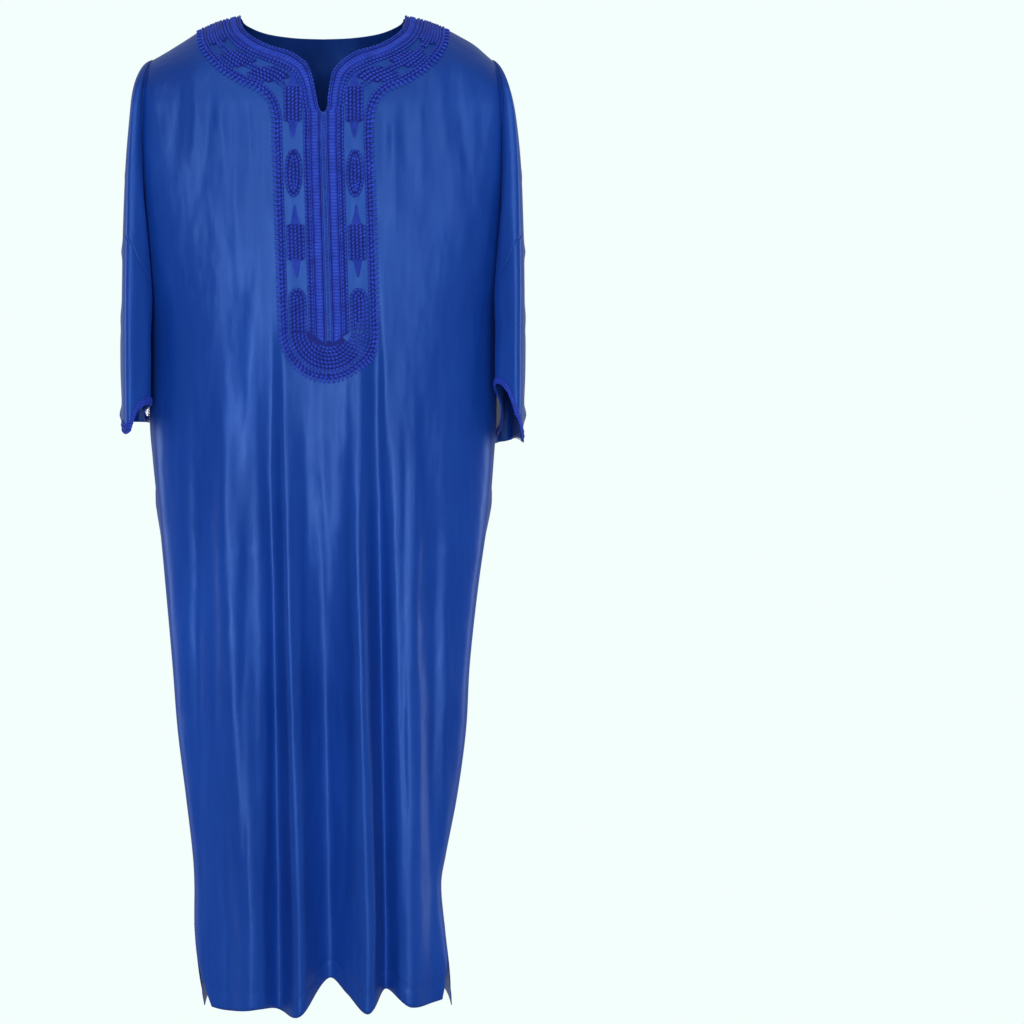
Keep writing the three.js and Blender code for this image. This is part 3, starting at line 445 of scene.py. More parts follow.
def even_places(count, across, deep):
    """Places round a quarter of the arm that are evenly spaced, from 0 to 1."""
    t = np.linspace(0, 1, 400)
    u = np.sin(t * math.pi / 2) ** (2 / ARM_SQUARENESS) * deep
    w = np.cos(t * math.pi / 2) ** (2 / ARM_SQUARENESS) * across
    length = np.concatenate([[0], np.cumsum(np.hypot(np.diff(u), np.diff(w)))])
    return np.interp(np.linspace(0, length[-1], count + 1), length, t)


# Places round the arm: 0 to 1 from the body to the fold over, 1 to 2 on the outer side.
PLACES = {
    "front": np.concatenate([even_places(20, 18, 105), 2 - even_places(34, 170, 20)[-2::-1]]),
    "back": np.concatenate([even_places(18, 18, 90), 2 - even_places(8, 28, 20)[-2::-1]]),
}


def arm_heights(face, low, edge, over):
    place = PLACES[face][None, :]
    return np.where(place < 1, mix(low, edge, place), mix(edge, over, place - 1))


def arm_rows(face, half, x, y, z):
    """Rows of the arm: x, y are columns of one value a row, z the heights at the places of each row."""
    front = face == "front"
    power = 2 / ARM_SQUARENESS
    place = PLACES[face][None, :]
    x, y = np.asarray(x, float)[:, None], np.asarray(y, float)[:, None]
    depth = ARM("front" if front else "rear", z)
    tip = RIDGE_Y + (depth - RIDGE_Y) * cap_share(face, z, SHOULDER_END_Z)
    edge = np.maximum(ARM("edge", z), x)
    outer = np.maximum(ARM(side_of(half), z), edge)
    over = ARM("over", z)
    turn = np.clip(place, 0, 1) * math.pi / 2
    roll = ARM("frontRoll" if front else "rearRoll", z) * np.sin(2 * turn) ** 4
    inner_x = edge - (edge - x) * np.maximum(np.cos(turn), 0) ** power - roll
    inner_y = y + (tip - y) * np.sin(turn) ** power
    turn = np.clip(place - 1, 0, 1) * math.pi / 2
    outer_x = edge + (outer - edge) * np.sin(turn) ** power
    outer_y = over + (tip - over) * np.maximum(np.cos(turn), 0) ** power
    first = place <= 1
    return np.stack([np.where(first, inner_x, outer_x) * half, np.where(first, inner_y, outer_y), z], axis=-1)


def shoulder_grid(face, half):
    valley = body_point(face, half, 1.0, row_height(UPPER_ROWS, SHOULDER_END_Z, 0.0))
    over = np.where(
        UPPER_ROWS <= CAP_ROWS,
        mix(SHOULDER_END_Z, SHOULDER_LINE_Z, UPPER_ROWS / CAP_ROWS),
        mix(SHOULDER_LINE_Z, OVERARM_SEAM_END_Z, (UPPER_ROWS - CAP_ROWS) / CHEST_ROWS),
    )[:, None]
    low = valley[:, 2][:, None]
    z = arm_heights(face, low, mix(over, low, FRONT_EDGE_SHARE), over)
    grid = arm_rows(face, half, valley[:, 0] * half, valley[:, 1], z)
    grid[:, 0] = valley
    return grid


SLEEVE_DOWN = np.linspace(0, 1, 64)


def sleeve_grid(half):
    seam = body_point("front", half, 1.0, float(UNDERARM_Z))
    edge = mix(OVERARM_SEAM_END_Z, UNDERARM_Z, FRONT_EDGE_SHARE)
    x = mix(seam[0] * half, SLEEVE_INNER_X, smooth(SLEEVE_DOWN, 0, 0.5))
    y = mix(seam[1], SLEEVE_INNER_Y, SLEEVE_DOWN)
    parts = []
    for face in ("front", "back"):
        top = arm_heights(face, UNDERARM_Z, edge, OVERARM_SEAM_END_Z)
        cuff = CUFF[face](side_of(half), PLACES[face][None, :])
        parts.append(arm_rows(face, half, x, y, mix(top, cuff, SLEEVE_DOWN[:, None])))
    ring = np.concatenate([parts[0], parts[1][:, ::-1][:, 1:]], axis=1)
    ring[0, 0] = seam
    ring[:, -1] = ring[:, 0]
    return ring


# ---------------------------------------------------------------- meshes
def quads_of(index):
    """Faces between the rows and columns of a grid of point numbers."""
    return np.stack([index[:-1, :-1], index[1:, :-1], index[1:, 1:], index[:-1, 1:]], axis=-1).reshape(-1, 4)


def weld(grids):
    """One mesh from grids of points: (points, flip, u) each; gives points, quads and u of each point."""
    points, lengths, quads, start = [], [], [], 0
    for grid, flip, u in grids:
        rows, columns = grid.shape[:2]
        faces = quads_of(start + np.arange(rows * columns).reshape(rows, columns))
        quads.append(faces[:, ::-1] if flip else faces)
        points.append(grid.reshape(-1, 3))
        lengths.append(np.broadcast_to(u, (rows, columns)).ravel())
        start += rows * columns
    points, lengths, quads = map(np.concatenate, (points, lengths, quads))
    keys = np.round(points * WELD_GRID).astype(np.int64)
    _, first, back = np.unique(keys, axis=0, return_index=True, return_inverse=True)
    return points[first], back.reshape(-1)[quads], lengths[first]


def normals_of(points, quads):
    a, b, c, d = (points[quads[:, i]] for i in range(4))
    n = np.cross(c - a, d - b)
    out = np.zeros_like(points)
    for i in range(4):
        np.add.at(out, quads[:, i], n)
    return unit(out)


def mesh_object(name, points, faces, material, uv=None, shade=None):
    mesh = bpy.data.meshes.new(name)
    faces = faces.tolist() if isinstance(faces, np.ndarray) else faces
    faces = [[v for i, v in enumerate(face) if v not in face[:i]] for face in faces]
    mesh.from_pydata((np.asarray(points) * MM).tolist(), [], [face for face in faces if len(face) > 2])
    mesh.validate()
    if uv is not None:
        vertex = np.empty(len(mesh.loops), int)
        mesh.loops.foreach_get("vertex_index", vertex)
        mesh.uv_layers.new(name="weave").data.foreach_set("uv", uv[vertex].astype(np.float32).ravel())
    if shade is not None:
        mesh.attributes.new("shade", "FLOAT", "POINT").data.foreach_set("value", shade.astype(np.float32))
    mesh.polygons.foreach_set("use_smooth", [True] * len(mesh.polygons))
    mesh.materials.append(material)
    obj = bpy.data.objects.new(name, mesh)
    bpy.context.scene.collection.objects.link(obj)
    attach(obj, "root")
    return obj


# ---------------------------------------------------------------- materials
def fill(tree, made, inputs):
    """Gives each socket named in inputs its number or colour, or links it to another node's output."""
    for key, value in inputs.items():
        if isinstance(value, bpy.types.NodeSocket):
            tree.links.new(value, made.inputs[key])
        else:
            made.inputs[key].default_value = value


def node(tree, kind, inputs, **values):
    """The first output of a new node."""
    made = tree.nodes.new(kind)
    for key, value in values.items():
        setattr(made, key, value)
    fill(tree, made, inputs)
    return made.outputs


def noise(tree, place, scale, detail=3.0, rough=0.5, stretch=(1, 1, 1)):
    vector = node(tree, "ShaderNodeMapping", {"Scale": stretch, "Vector": place})["Vector"]
    inputs = {"Scale": scale, "Detail": detail, "Roughness": rough, "Vector": vector}
    return node(tree, "ShaderNodeTexNoise", inputs)["Fac"]


def spread(tree, value, low, high, start=0.3, end=0.7):
    inputs = {"From Min": start, "From Max": end, "To Min": low, "To Max": high, "Value": value}
    return node(tree, "ShaderNodeMapRange", inputs)["Result"]


def blend(tree, factor, first, second):
    inputs = {"A": first, "B": second, "Factor": factor}
    return node(tree, "ShaderNodeMix", inputs, data_type="RGBA")["Result"]


def bump(tree, height, distance, strength, before=None):
    inputs = {"Distance": distance, "Strength": strength, "Height": height}
    if before is not None:
        inputs["Normal"] = before
    return node(tree, "ShaderNodeBump", inputs)["Normal"]


def shader_of(name):
    material = bpy.data.materials.new(name)
    material.use_nodes = True
    tree = material.node_tree
    return material, tree, tree.nodes["Principled BSDF"], node(tree, "ShaderNodeTexCoord", {})["Object"]


def satin(name, deep, light):
    material, tree, shader, place = shader_of(name)
    cloudy = noise(tree, place, 9, 3, 0.55, (1, 1, 0.45))
    streaks = noise(tree, place, 26, 4, 0.6, (6, 6, 0.5))
    both = node(tree, "ShaderNodeMath", {0: streaks, 1: 0.35, 2: cloudy}, operation="MULTIPLY_ADD")[0]
    normal = None
    for scale, detail, stretch, distance, strength in (
        (16, 2, (1.6, 1.6, 0.5), 0.006, 0.5),  # crumple
        (60, 2, (1.2, 1.2, 0.8), 0.0008, 0.35),  # slack
        (900, 1, (1.6, 1.6, 0.35), 0.00012, 0.5),  # threads
    ):
        normal = bump(tree, noise(tree, place, scale, detail, 0.5, stretch), distance, strength, normal)
    fill(tree, shader, {
        "Base Color": blend(tree, spread(tree, both, 0, 1, 0.45, 0.9), deep, light),
        "Roughness": spread(tree, streaks, 0.38, 0.48),
        "Normal": normal,
        "Specular IOR Level": 0.75,
        "Specular Tint": (0.2, 0.42, 1.0, 1),
        "Sheen Weight": 0.04,
        "Sheen Roughness": 0.4,
        "Sheen Tint": (0.25, 0.45, 1.0, 1),
        "Anisotropic": 0.6,
        "Anisotropic Rotation": 0.25,
        "Tangent": node(tree, "ShaderNodeTangent", {}, direction_type="UV_MAP", uv_map="weave")["Tangent"],
    })
    return material


def thread(name, low, high, rough=0.55, painted_shade_colour=None):
    """Embroidery thread, with painted shade: a point whose shade is 0 takes the last colour given, in the
    pinches between loops, under cords and knots and in the grooves of braids.
    """
    material, tree, shader, place = shader_of(name)
    patchy = noise(tree, place, 70, 3, 0.6)
    fine = noise(tree, place, 1500, 2, 0.6)
    colour = blend(tree, spread(tree, patchy, 0, 1), low, high)
    if painted_shade_colour:
        shade = node(tree, "ShaderNodeAttribute", {}, attribute_name="shade")["Fac"]
        colour = blend(tree, shade, painted_shade_colour, colour)
    fill(tree, shader, {
        "Base Color": colour,
        "Roughness": spread(tree, fine, rough - 0.06, rough + 0.08),
        "Normal": bump(tree, fine, 0.0003, 0.6),
        "Specular Tint": (0.4, 0.45, 1.0, 1),
        "Sheen Weight": 0.08,
        "Sheen Roughness": 0.5,
        "Sheen Tint": (0.3, 0.35, 1.0, 1),
    })
    return material


SATIN = satin("royal_satin", (0.0035, 0.032, 0.235, 1), (0.007, 0.050, 0.31, 1))
# The cord's last colour is painted shade, for the pinches between loops, the undersides of cords and knots
# and the grooves of the neck braid.
CORD = thread("cord_thread", (0.011, 0.038, 0.38, 1), (0.024, 0.070, 0.56, 1), painted_shade_colour=(0.002, 0.012, 0.17, 1))
# A dark sheet laid under the cords: painted shade in the gaps between rows of cords.
SHADE_SHEET = thread("braid_shade_sheet", (0.003, 0.009, 0.15, 1), (0.005, 0.014, 0.20, 1), 0.7)
STITCH = thread("sewing_thread", (0.012, 0.05, 0.28, 1), (0.02, 0.075, 0.36, 1), 0.5)


# ---------------------------------------------------------------- cloth
def hem_height(face, p):
    """Height of points above the lower edge of a panel."""
    return p[..., 2] - (HEM("z", p[..., 0]) if face == "front" else BACK_HEM_Z)


def panel_depth(face, points, normals):
    """How far the finer creases and the stitched hem push each point of a panel out."""
    x, y, z = points.T
    frontal, sideways = (np.clip(np.abs(normals[:, i]) * 1.3 - 0.15, 0, 1) for i in (1, 0))
    on_body = 1 - smooth(np.abs(x), 226, 238)
    depth = crease_depth(CREASES[face], x, z) * frontal * np.where(z < UNDERARM_Z, 1, on_body)
    below = smooth(-z, -UNDERARM_Z - 10, -UNDERARM_Z + 120)
    depth += crease_depth(SIDE_CREASES, y, z) * sideways * below
    arm = smooth(np.abs(x), 244, 254) * (1 - smooth(-z, 425, 445))
    depth += crease_depth(ARM_CREASES, y, z) * arm * sideways
    hem = hem_height(face, points)
    stitched = np.exp(-(((hem - HEM_BAND) / 2.6) ** 2))
    return depth - stitched + 0.35 * (1 - smooth(hem, HEM_BAND - 3, HEM_BAND + 2))


def sleeve_depth(points):
    x, y, z = points.T
    fade = smooth(OVERARM_SEAM_END_Z - z, -200, 20) * smooth(z + 600, 0, 30)
    return crease_depth(ARM_CREASES, y, z) * smooth(np.abs(x), 250, 262) * fade


def edge_fade(points, quads, reach=14.0, block=4000):
    """0 on the seams of a piece, growing to 1 inside it; free edges keep their full folds."""
    seen = {}
    for a, b in np.concatenate([quads[:, [i, (i + 1) % 4]] for i in range(4)]):
        if a != b:
            key = (min(a, b), max(a, b))
            seen[key] = seen.get(key, 0) + 1
    rim = np.array(sorted({v for key, times in seen.items() if times == 1 for v in key}))
    rim = points[rim[points[rim, 2] > VENT_TOP_Z]]
    gaps = [
        np.sqrt(((points[start:start + block, None] - rim[None]) ** 2).sum(axis=2)).min(axis=1)
        for start in range(0, len(points), block)
    ]
    return smooth(np.concatenate(gaps), 0.5, reach)


def cloth_piece(name, solid, grids, depth_of):
    """A shell on the form of its solid, with the creases that depth_of gives; also its points and quads."""
    points, quads, u = weld(grids)
    normals = normals_of(points, quads)
    points = points + normals * (depth_of(points, normals) * edge_fade(points, quads))[:, None]
    obj = mesh_object(name, points, quads, SATIN, uv=pairs(u, points[:, 2]) * MM)
    wall = obj.modifiers.new("cloth", "SOLIDIFY")
    wall.thickness = CLOTH * MM
    wall.offset = -1
    wall.use_rim = True
    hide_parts(solid)
    cloth[name] = obj
    return points, quads


cloth, dressed = {}, {}
for face in ("front", "back"):
    grids = []
    for half in (1, -1):
        flip = (face == "front") == (half < 0)
        grids.append((body_grid(face, half), flip, half * SHARES[None, :] * BODY_WEAVE))
        run = half * (BODY_WEAVE + PLACES[face][None, :] * ARM_WEAVE)
        grids.append((shoulder_grid(face, half), flip, run))
    dressed[face] = cloth_piece(
        f"{face}_cloth", f"{face}_panel", grids, lambda points, normals: panel_depth(face, points, normals)
    )
for side, half in SIDES:
    grid = sleeve_grid(half)
    u = np.linspace(0, SLEEVE_WEAVE, grid.shape[1])[None, :]
    surface = [(grid, half < 0, u)]
    cloth_piece(f"sleeve_{side}_cloth", f"sleeve_{side}", surface, lambda points, _: sleeve_depth(points))


# ---------------------------------------------------------------- braid and cord work
class Surface:
    """A surface that cords and braids are laid on."""

    def __init__(self, points, quads):
        self.points, self.normals = points, normals_of(points, quads)
        tris = np.concatenate([quads[:, [0, 1, 2]], quads[:, [0, 2, 3]]])
        self.tris = tris[[len(set(t)) == 3 for t in tris.tolist()]]
        self.tree = BVHTree.FromPolygons([Vector(p) for p in points.tolist()], self.tris.tolist())

    def settle(self, place, index):
        """The surface's normal at a place on one of its triangles."""
        a, b, c = (self.points[i] for i in self.tris[index])
        area = [np.linalg.norm(np.cross(q - place, r - place)) for q, r in ((b, c), (c, a), (a, b))]
        weight = np.array(area) / max(sum(area), 1e-9)
        normal = sum(w * self.normals[i] for w, i in zip(weight, self.tris[index]))
        return normal / np.linalg.norm(normal)

    def found(self, hits):
        """Points and normals of the hits of a search."""
        places = [np.array(hit[0]) for hit in hits]
        return np.array(places), np.array([self.settle(p, hit[2]) for p, hit in zip(places, hits)])

    def nearest(self, points):
        return self.found([self.tree.find_nearest(Vector(p)) for p in points])

    def press(self, flat):
        """Points of the slanted drawing plane, pressed on to the surface."""
        axis = np.array([0, -math.cos(SLANT), math.sin(SLANT)])
        down = np.array([0, math.sin(SLANT), math.cos(SLANT)])
        hits = []
        for u, v in flat:
            origin = np.array([u, 0, 0]) + v * down + 400 * axis
            hit = self.tree.ray_cast(Vector(origin), Vector(-axis))
            hits.append(self.tree.find_nearest(Vector(origin - 330 * axis)) if hit[0] is None else hit)
        return self.found(hits)


def ridge_at(x):
    return np.where(x > 0, RIDGE("left", np.abs(x)), RIDGE("right", np.abs(x)))


def pressed(x, z):
    """Points and normals of the front panel at front view x and z, laid on along the slant."""
    x, z = np.broadcast_arrays(np.asarray(x, float), np.asarray(z, float))
    square = BODY("frontN", z)
    edge = BODY("frontSide", z)
    across = np.minimum(np.abs(x) / np.where(x > 0, BODY("left", z), BODY("right", z)), 1) ** square
    level = edge + (BODY("front", z) - edge) * (1 - across) ** (1 / square)
    y = RIDGE_Y + (level - RIDGE_Y) * cap_share("front", z, np.maximum(ridge_at(x), z))
    return surfaces["front"].press(np.stack([x, y * math.sin(SLANT) + z * math.cos(SLANT)], axis=-1))


surfaces = {face: Surface(*mesh) for face, mesh in dressed.items()}


def resampled(line, count):
    """The line with count points, even in the numbers of its own points."""
    return along((np.linspace(0, 1, len(line)), line), np.linspace(0, 1, count))


def even(points, step):
    """The same line with points a step apart."""
    points = np.asarray(points, float)
    length = run_of(points)
    wanted = np.linspace(0, length[-1], max(int(round(length[-1] / step)), 2) + 1)
    return np.stack([np.interp(wanted, length, points[:, i]) for i in range(points.shape[1])], axis=-1)


def respaced(places, normals, step):
    line = even(np.concatenate([places, normals], axis=1), step)
    return line[:, :3], line[:, 3:]


class Work:
    """Collects the rows of one embroidered piece."""

    def __init__(self):
        self.points, self.faces, self.shades, self.count = [], [], [], 0

    def add(self, points, faces, shades):
        self.points.append(points)
        self.shades.append(shades)
        self.faces.extend((np.asarray(faces) + self.count).tolist())
        self.count += len(points)

    def tube(self, places, normals, radius, ring=7, lift=0.5, pitch=0.0, flat=1.0):
        """A thread laid on the surface, with tapered ends. pitch is the length of a chain stitch."""
        tangent = unit(np.gradient(places, axis=0))
        across = unit(np.cross(normals, tangent))
        up = np.cross(tangent, across)
        run = run_of(places)
        angle = np.linspace(0, 2 * math.pi, ring, endpoint=False)[None, :]
        size = np.full((len(places), ring), float(radius))
        # Painted shade: the side of the thread towards the cloth is darker.
        shade = np.broadcast_to(0.55 + 0.45 * np.sin(angle), size.shape)
        if pitch:
            sewn = run[:, None] + 1.7 * places[0, 0] + 0.9 * places[0, 2] + 0.4 * np.sin(run[:, None] / 6.3)
            loop = np.abs(np.sin(math.pi * (sewn + 0.35 * radius * np.cos(angle)) / pitch))
            size *= 1 + STITCH_LEAN * np.cos(angle - 2 * math.pi * sewn / pitch)
            size *= 1 - STITCH_BEAD + 1.3 * STITCH_BEAD * loop
            # Painted shade: darker in the pinch between one chain loop and the next.
            shade = shade * smooth(loop, 0.25, 0.85)
        size *= np.sqrt(np.clip(np.minimum(run, run[-1] - run) / radius, 0.12, 1))[:, None]
        body = (
            (places + normals * (radius * lift))[:, None]
            + across[:, None] * (size * np.cos(angle))[..., None]
            + up[:, None] * (size * np.sin(angle) * flat)[..., None]
        )
        index = np.arange(size.size).reshape(size.shape)
        closed = np.concatenate([index, index[:, :1]], axis=1)
        self.add(body.reshape(-1, 3), quads_of(closed)[:, [0, 3, 2, 1]], shade.ravel())

    def cord(self, places, normals, radius, pitch):
        """A row of chain stitches: a string of leaning loops."""
        self.tube(places, normals, radius, lift=0.45, pitch=pitch, flat=0.9)

    def lay(self, line, radius, pitch, step=0.95):
        """A cord along a line of the front view."""
        self.cord(*pressed(*even(line, step).T), radius, pitch)

    def strip(self, left, right, normals, rise, columns=6, rib=4.4, depth=0.0):
        """A flat braid between two lines, with cross ribs if it has a depth."""
        run = run_of((left + right) / 2)
        v = np.linspace(-1, 1, columns + 1)[None, :]
        f = ((v + 1) / 2)[..., None]
        wave = np.abs(np.sin(math.pi * (run[:, None] + 0.6 * np.abs(v)) / rib))
        high = rise * np.maximum(1 - v**4, 0) ** 0.5 * (1 - depth + depth * wave)
        high = high - 0.5 * (np.abs(v) > 0.99)
        body = left[:, None] * (1 - f) + right[:, None] * f + normals[:, None] * high[..., None]
        # Painted shade: darker in the grooves between the ribs and along the braid's edges; a flat strip gets
        # an even middle shade.
        shade = smooth(wave, -0.25, 0.8) * (1 - 0.8 * v**6) if depth else np.full(high.shape, 0.5)
        index = np.arange(high.size).reshape(high.shape)
        self.add(body.reshape(-1, 3), quads_of(index)[:, [0, 3, 2, 1]], shade.ravel())

    def knot(self, place, normal, radius, flat=0.75):
        """A small round knot: three rings of six points and a top."""
        across = np.cross(normal, [1.0, 0, 0] if abs(normal[0]) < 0.9 else [0, 1.0, 0])
        across /= np.linalg.norm(across)
        aside = np.cross(normal, across)
        points = []
        for lat in (-0.15, 0.35, 0.75):
            r, h = radius * math.cos(lat * math.pi / 2), radius * flat * math.sin(lat * math.pi / 2)
            for k in range(6):
                t = k * math.pi / 3 + lat
                beside = place + across * r * math.cos(t) + aside * r * math.sin(t)
                points.append(beside + normal * (h + radius * 0.35))
        points.append(place + normal * radius * (flat + 0.35))
        faces = [[a + k, a + (k + 1) % 6, a + 6 + (k + 1) % 6, a + 6 + k] for a in (0, 6) for k in range(6)]
        faces += [[12 + k, 12 + (k + 1) % 6, 18, 18] for k in range(6)]
        # Painted shade: the knot's lowest ring is darkest, the middle ring a little darker than the top.
        self.add(np.array(points), faces, np.repeat((0.2, 0.8, 1.0), (6, 6, 7)))

    def finish(self, name, material, *nodes):
        points, shades = np.concatenate(self.points), np.concatenate(self.shades)
        obj = mesh_object(name, points, self.faces, material, shade=shades)
        if nodes:
            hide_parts(*nodes)


def sided(line, half):
    """A front view line of the wearer's left, on the side of half."""
    return [(x * half, z) for x, z in line]


def border_line(half):
    """Front view line from the shoulder round the yoke, down the chest to the round end's middle."""
    upper = spline(sided(YOKE_EDGE, half), 12)[1]
    turn = np.linspace(0, math.pi / 2, 24)
    lower = pairs(ROUND_X + half * BORDER_OUTER * np.cos(turn), ROUND_Z - BORDER_OUTER * np.sin(turn))
    return np.concatenate([upper, lower])


def offset(line, distance):
    """The line moved aside in the front view, to the right of the way it runs if positive."""
    t = unit(np.gradient(line, axis=0))
    return line + pairs(-t[:, 1], t[:, 0]) * distance


def neck_rows(half):
    """Inner and outer lines of the neck braid in the front view, with matching points."""
    neck = pairs(*column_top("front", half, np.linspace(NECK_SHARE, 0, NECK_STATIONS))) * (half, 1)
    z = np.linspace(SLIT_TOP_Z, SLIT_BOTTOM_Z, NECK_STATIONS // 2)[1:]
    slit = body_point("front", half, np.zeros(len(z)), z)[:, [0, 2]]
    outer = spline(sided(NECK_BRAID_EDGE, half), 30)[1]
    split = int(np.argmin(np.abs(outer[:, 0] - half * NECK_BRAID_SPLIT_X)))
    z = np.linspace(SLIT_BOTTOM_Z, ROUND_Z, 200)[1:]
    cx = CENTRE("x", z)
    return (
        np.concatenate([neck, slit, pairs(cx, z)]),
        np.concatenate([
            resampled(outer[: split + 1], len(neck)),
            resampled(outer[split:], len(slit)),
            pairs(cx + half * BRAID_HALF, z),
        ]),
    )


neck_work, neck_shade_sheet = Work(), Work()
for half in (1, -1):
    inner, outer = (
        resampled(np.concatenate([line, [[line[-1, 0], end]]]), 620)
        for line, end in zip(neck_rows(half), (TIP_Z, float(ROUND_Z)))
    )

    def at_fraction(f):
        return pressed(*(inner + (outer - inner) * f).T)

    (edge, edge_normals), (rim, _) = at_fraction(0.02), at_fraction(0.99)
    # Painted shade: a dark sheet under the whole neck braid, so the gaps between its cords read dark.
    neck_shade_sheet.strip(*((edge, rim)[::half]), edge_normals, 0.5)
    low, low_normals = at_fraction(0.21)
    line = even(np.concatenate([low, at_fraction(0.60)[0], low_normals], axis=1), 0.75)
    pair = (line[:, 0:3], line[:, 3:6])[::half]
    neck_work.strip(*pair, line[:, 6:9], 2.2, columns=8, depth=0.5)
    for fraction, radius in ((0.045, 1.4), (0.155, 0.8), (0.645, 0.75), (0.735, 1.9), (0.90, 1.9)):
        places, normals = respaced(*at_fraction(fraction), 0.85)
        if fraction < 0.1:
            above = places[:, 2] > SLIT_BOTTOM_Z + 2
            places, normals = places[above], normals[above]
        if radius > 1:
            neck_work.cord(places, normals, radius, 5.0)
        else:
            neck_work.tube(places[::2], normals[::2], radius, ring=5, lift=1.2)
z = np.arange(SLIT_BOTTOM_Z - 5, TIP_Z + 8, -4.4)
for place, normal in zip(*pressed(CENTRE("x", z), z)):
    neck_work.knot(place, normal, 2.1)
neck_work.finish("neck_braid_rows", CORD, "neck_braid")
neck_shade_sheet.finish("neck_braid_shade_sheet", SHADE_SHEET)

# Toothed border.
border, border_shade_sheet = Work(), Work()
for half in (1, -1):
    outer = border_line(half)
    for distance, radius, pitch in ((8.4, 2.1, 6.0), (12.6, 1.8, 5.0)):
        border.lay(offset(outer, -distance * half), radius, pitch, 0.85)
    first, second = (pressed(*resampled(offset(outer, -distance * half), 300).T) for distance in (4.2, 13.6))
    # Painted shade: a dark sheet between the border's rows of cords.
    border_shade_sheet.strip(*((second[0], first[0])[::half]), first[1], 0.45)
    tips = even(outer, TOOTH_PITCH)
    base = offset(tips, -TOOTH_LENGTH * half)
    for k in range(1, len(tips) - (half < 0)):
        line = mix(base[k], tips[k], np.linspace(-0.1, 1.02, 8)[:, None])
        border.tube(*pressed(*line.T), 2.0, ring=8, lift=0.6)
border.finish("border_cords", CORD, "border_braid")
border_shade_sheet.finish("border_shade_sheet", SHADE_SHEET)

# Dense rows round the lower end.
fill_rows, motif_shade_sheet = Work(), Work()


def shade_pad(left, right):
    """Dark sheet between two front view lines, under the rows of a motif: painted shade in the gaps between
    its rows.
    """
    (p, n), (q, _) = pressed(*left.T), pressed(*right.T)
    motif_shade_sheet.strip(p, q, n, 0.4)


def arc(radius, reach):
    turn = np.radians(np.linspace(-90 - reach, -90 + reach, 70))
    return pairs(ROUND_X + radius * np.cos(turn), ROUND_Z + radius * np.sin(turn))


arcs = [(MOTIF_X + way * row, 89) for row in OVAL_ROWS for way in (-1, 1)]
arcs += [(MOTIF_X, 89), (25.8, 62), (21.4, 36)]
for radius, reach in arcs:
    fill_rows.lay(arc(radius, reach), 2.1, 5.0)
shade_pad(arc(7.0, 90), arc(BORDER_OUTER - BORDER_WIDTH + 0.5, 90))
fill_rows.finish("lower_fill_cords", CORD, "lower_fill")


def followed(x_of, z, aside=0.0):
    """Front view line at the heights z, aside of the middle that x_of gives."""
    return pairs(np.array([x_of(v) for v in z]) + aside, z)


def spade(work, x_of, top, crown, bottom, tip, half_width=12.0):
    """A motif with a pointed crown, a broad body of chain rows and a stitched tongue."""
    def width(z):
        if z > crown:
            return half_width * (0.14 + 0.42 * ((top - z) / (top - crown)) ** 1.3)
        return half_width * (0.1 + 0.42 * ((z - tip) / (bottom - tip)) ** 0.9)

    # satin stitch: threads laid side by side
    for z in np.concatenate([np.arange(top, crown - 1, -1.7), np.arange(bottom + 1, tip, -1.7)]):
        x, w = x_of(z), width(z)
        line = spline([[x - w, z - 0.5], [x, z + 0.4], [x + w, z - 0.5]], 4)[1]
        work.tube(*pressed(*even(line, max(w / 5, 0.7)).T), 0.85, ring=5, lift=0.75)
    z = np.linspace(top - 2, tip + 2, 40)
    wide = np.array([width(v) if v > crown or v < bottom else half_width for v in z]) - 0.5
    shade_pad(followed(x_of, z, -wide), followed(x_of, z, wide))
    for share in np.linspace(-0.84, 0.84, 5):
        shorten = 3.5 * abs(share) ** 3
        z = np.linspace(crown + 1 - shorten, bottom - 1 + shorten, 12)
        work.lay(followed(x_of, z, share * half_width), 2.1, 4.8 + 0.5 * (abs(share) > 0.8))


def filled_oval(work, x_of, z, across, long, arch=False):
    """Nested rings of chain stitches round a middle row; an arch is open to the round end below it."""
    if arch:
        high = np.linspace(ROUND_Z, z + long - 1, 40)
    else:
        high = z + (long - 1) * np.sin(np.linspace(-math.pi / 2, math.pi / 2, 40))
    wide = (across - 1) * np.sqrt(np.clip(1 - (np.maximum(high - z, 0 if arch else -99) / long) ** 2, 0, 1))
    shade_pad(followed(x_of, high, -wide), followed(x_of, high, wide))
    for row, inset in zip(OVAL_ROWS, (0.0, 5.0)):
        if arch:
            t = np.linspace(-math.pi / 2, math.pi / 2, 24)
            low = np.linspace(z - 2, ROUND_Z, 12)
            path = np.concatenate([
                pairs(np.full(12, -row), low[::-1]),
                pairs(row * np.sin(t), z + (long - inset) * np.cos(t)),
                pairs(np.full(12, row), low),
            ])
            path[:, 0] += [x_of(v) for v in path[:, 1]]
        else:
            t = np.linspace(0, 2 * math.pi, 60)
            a, b = across - 1.2 - inset, long - 1 - inset * 1.2
            path = pairs(x_of(z) + a * np.sin(t), z + b * np.cos(t))
        work.lay(path, 2.1, 5.2)
    work.lay(followed(x_of, np.linspace(z + long - 9, ROUND_Z if arch else z - long + 9, 14)), 2.1, 4.8)


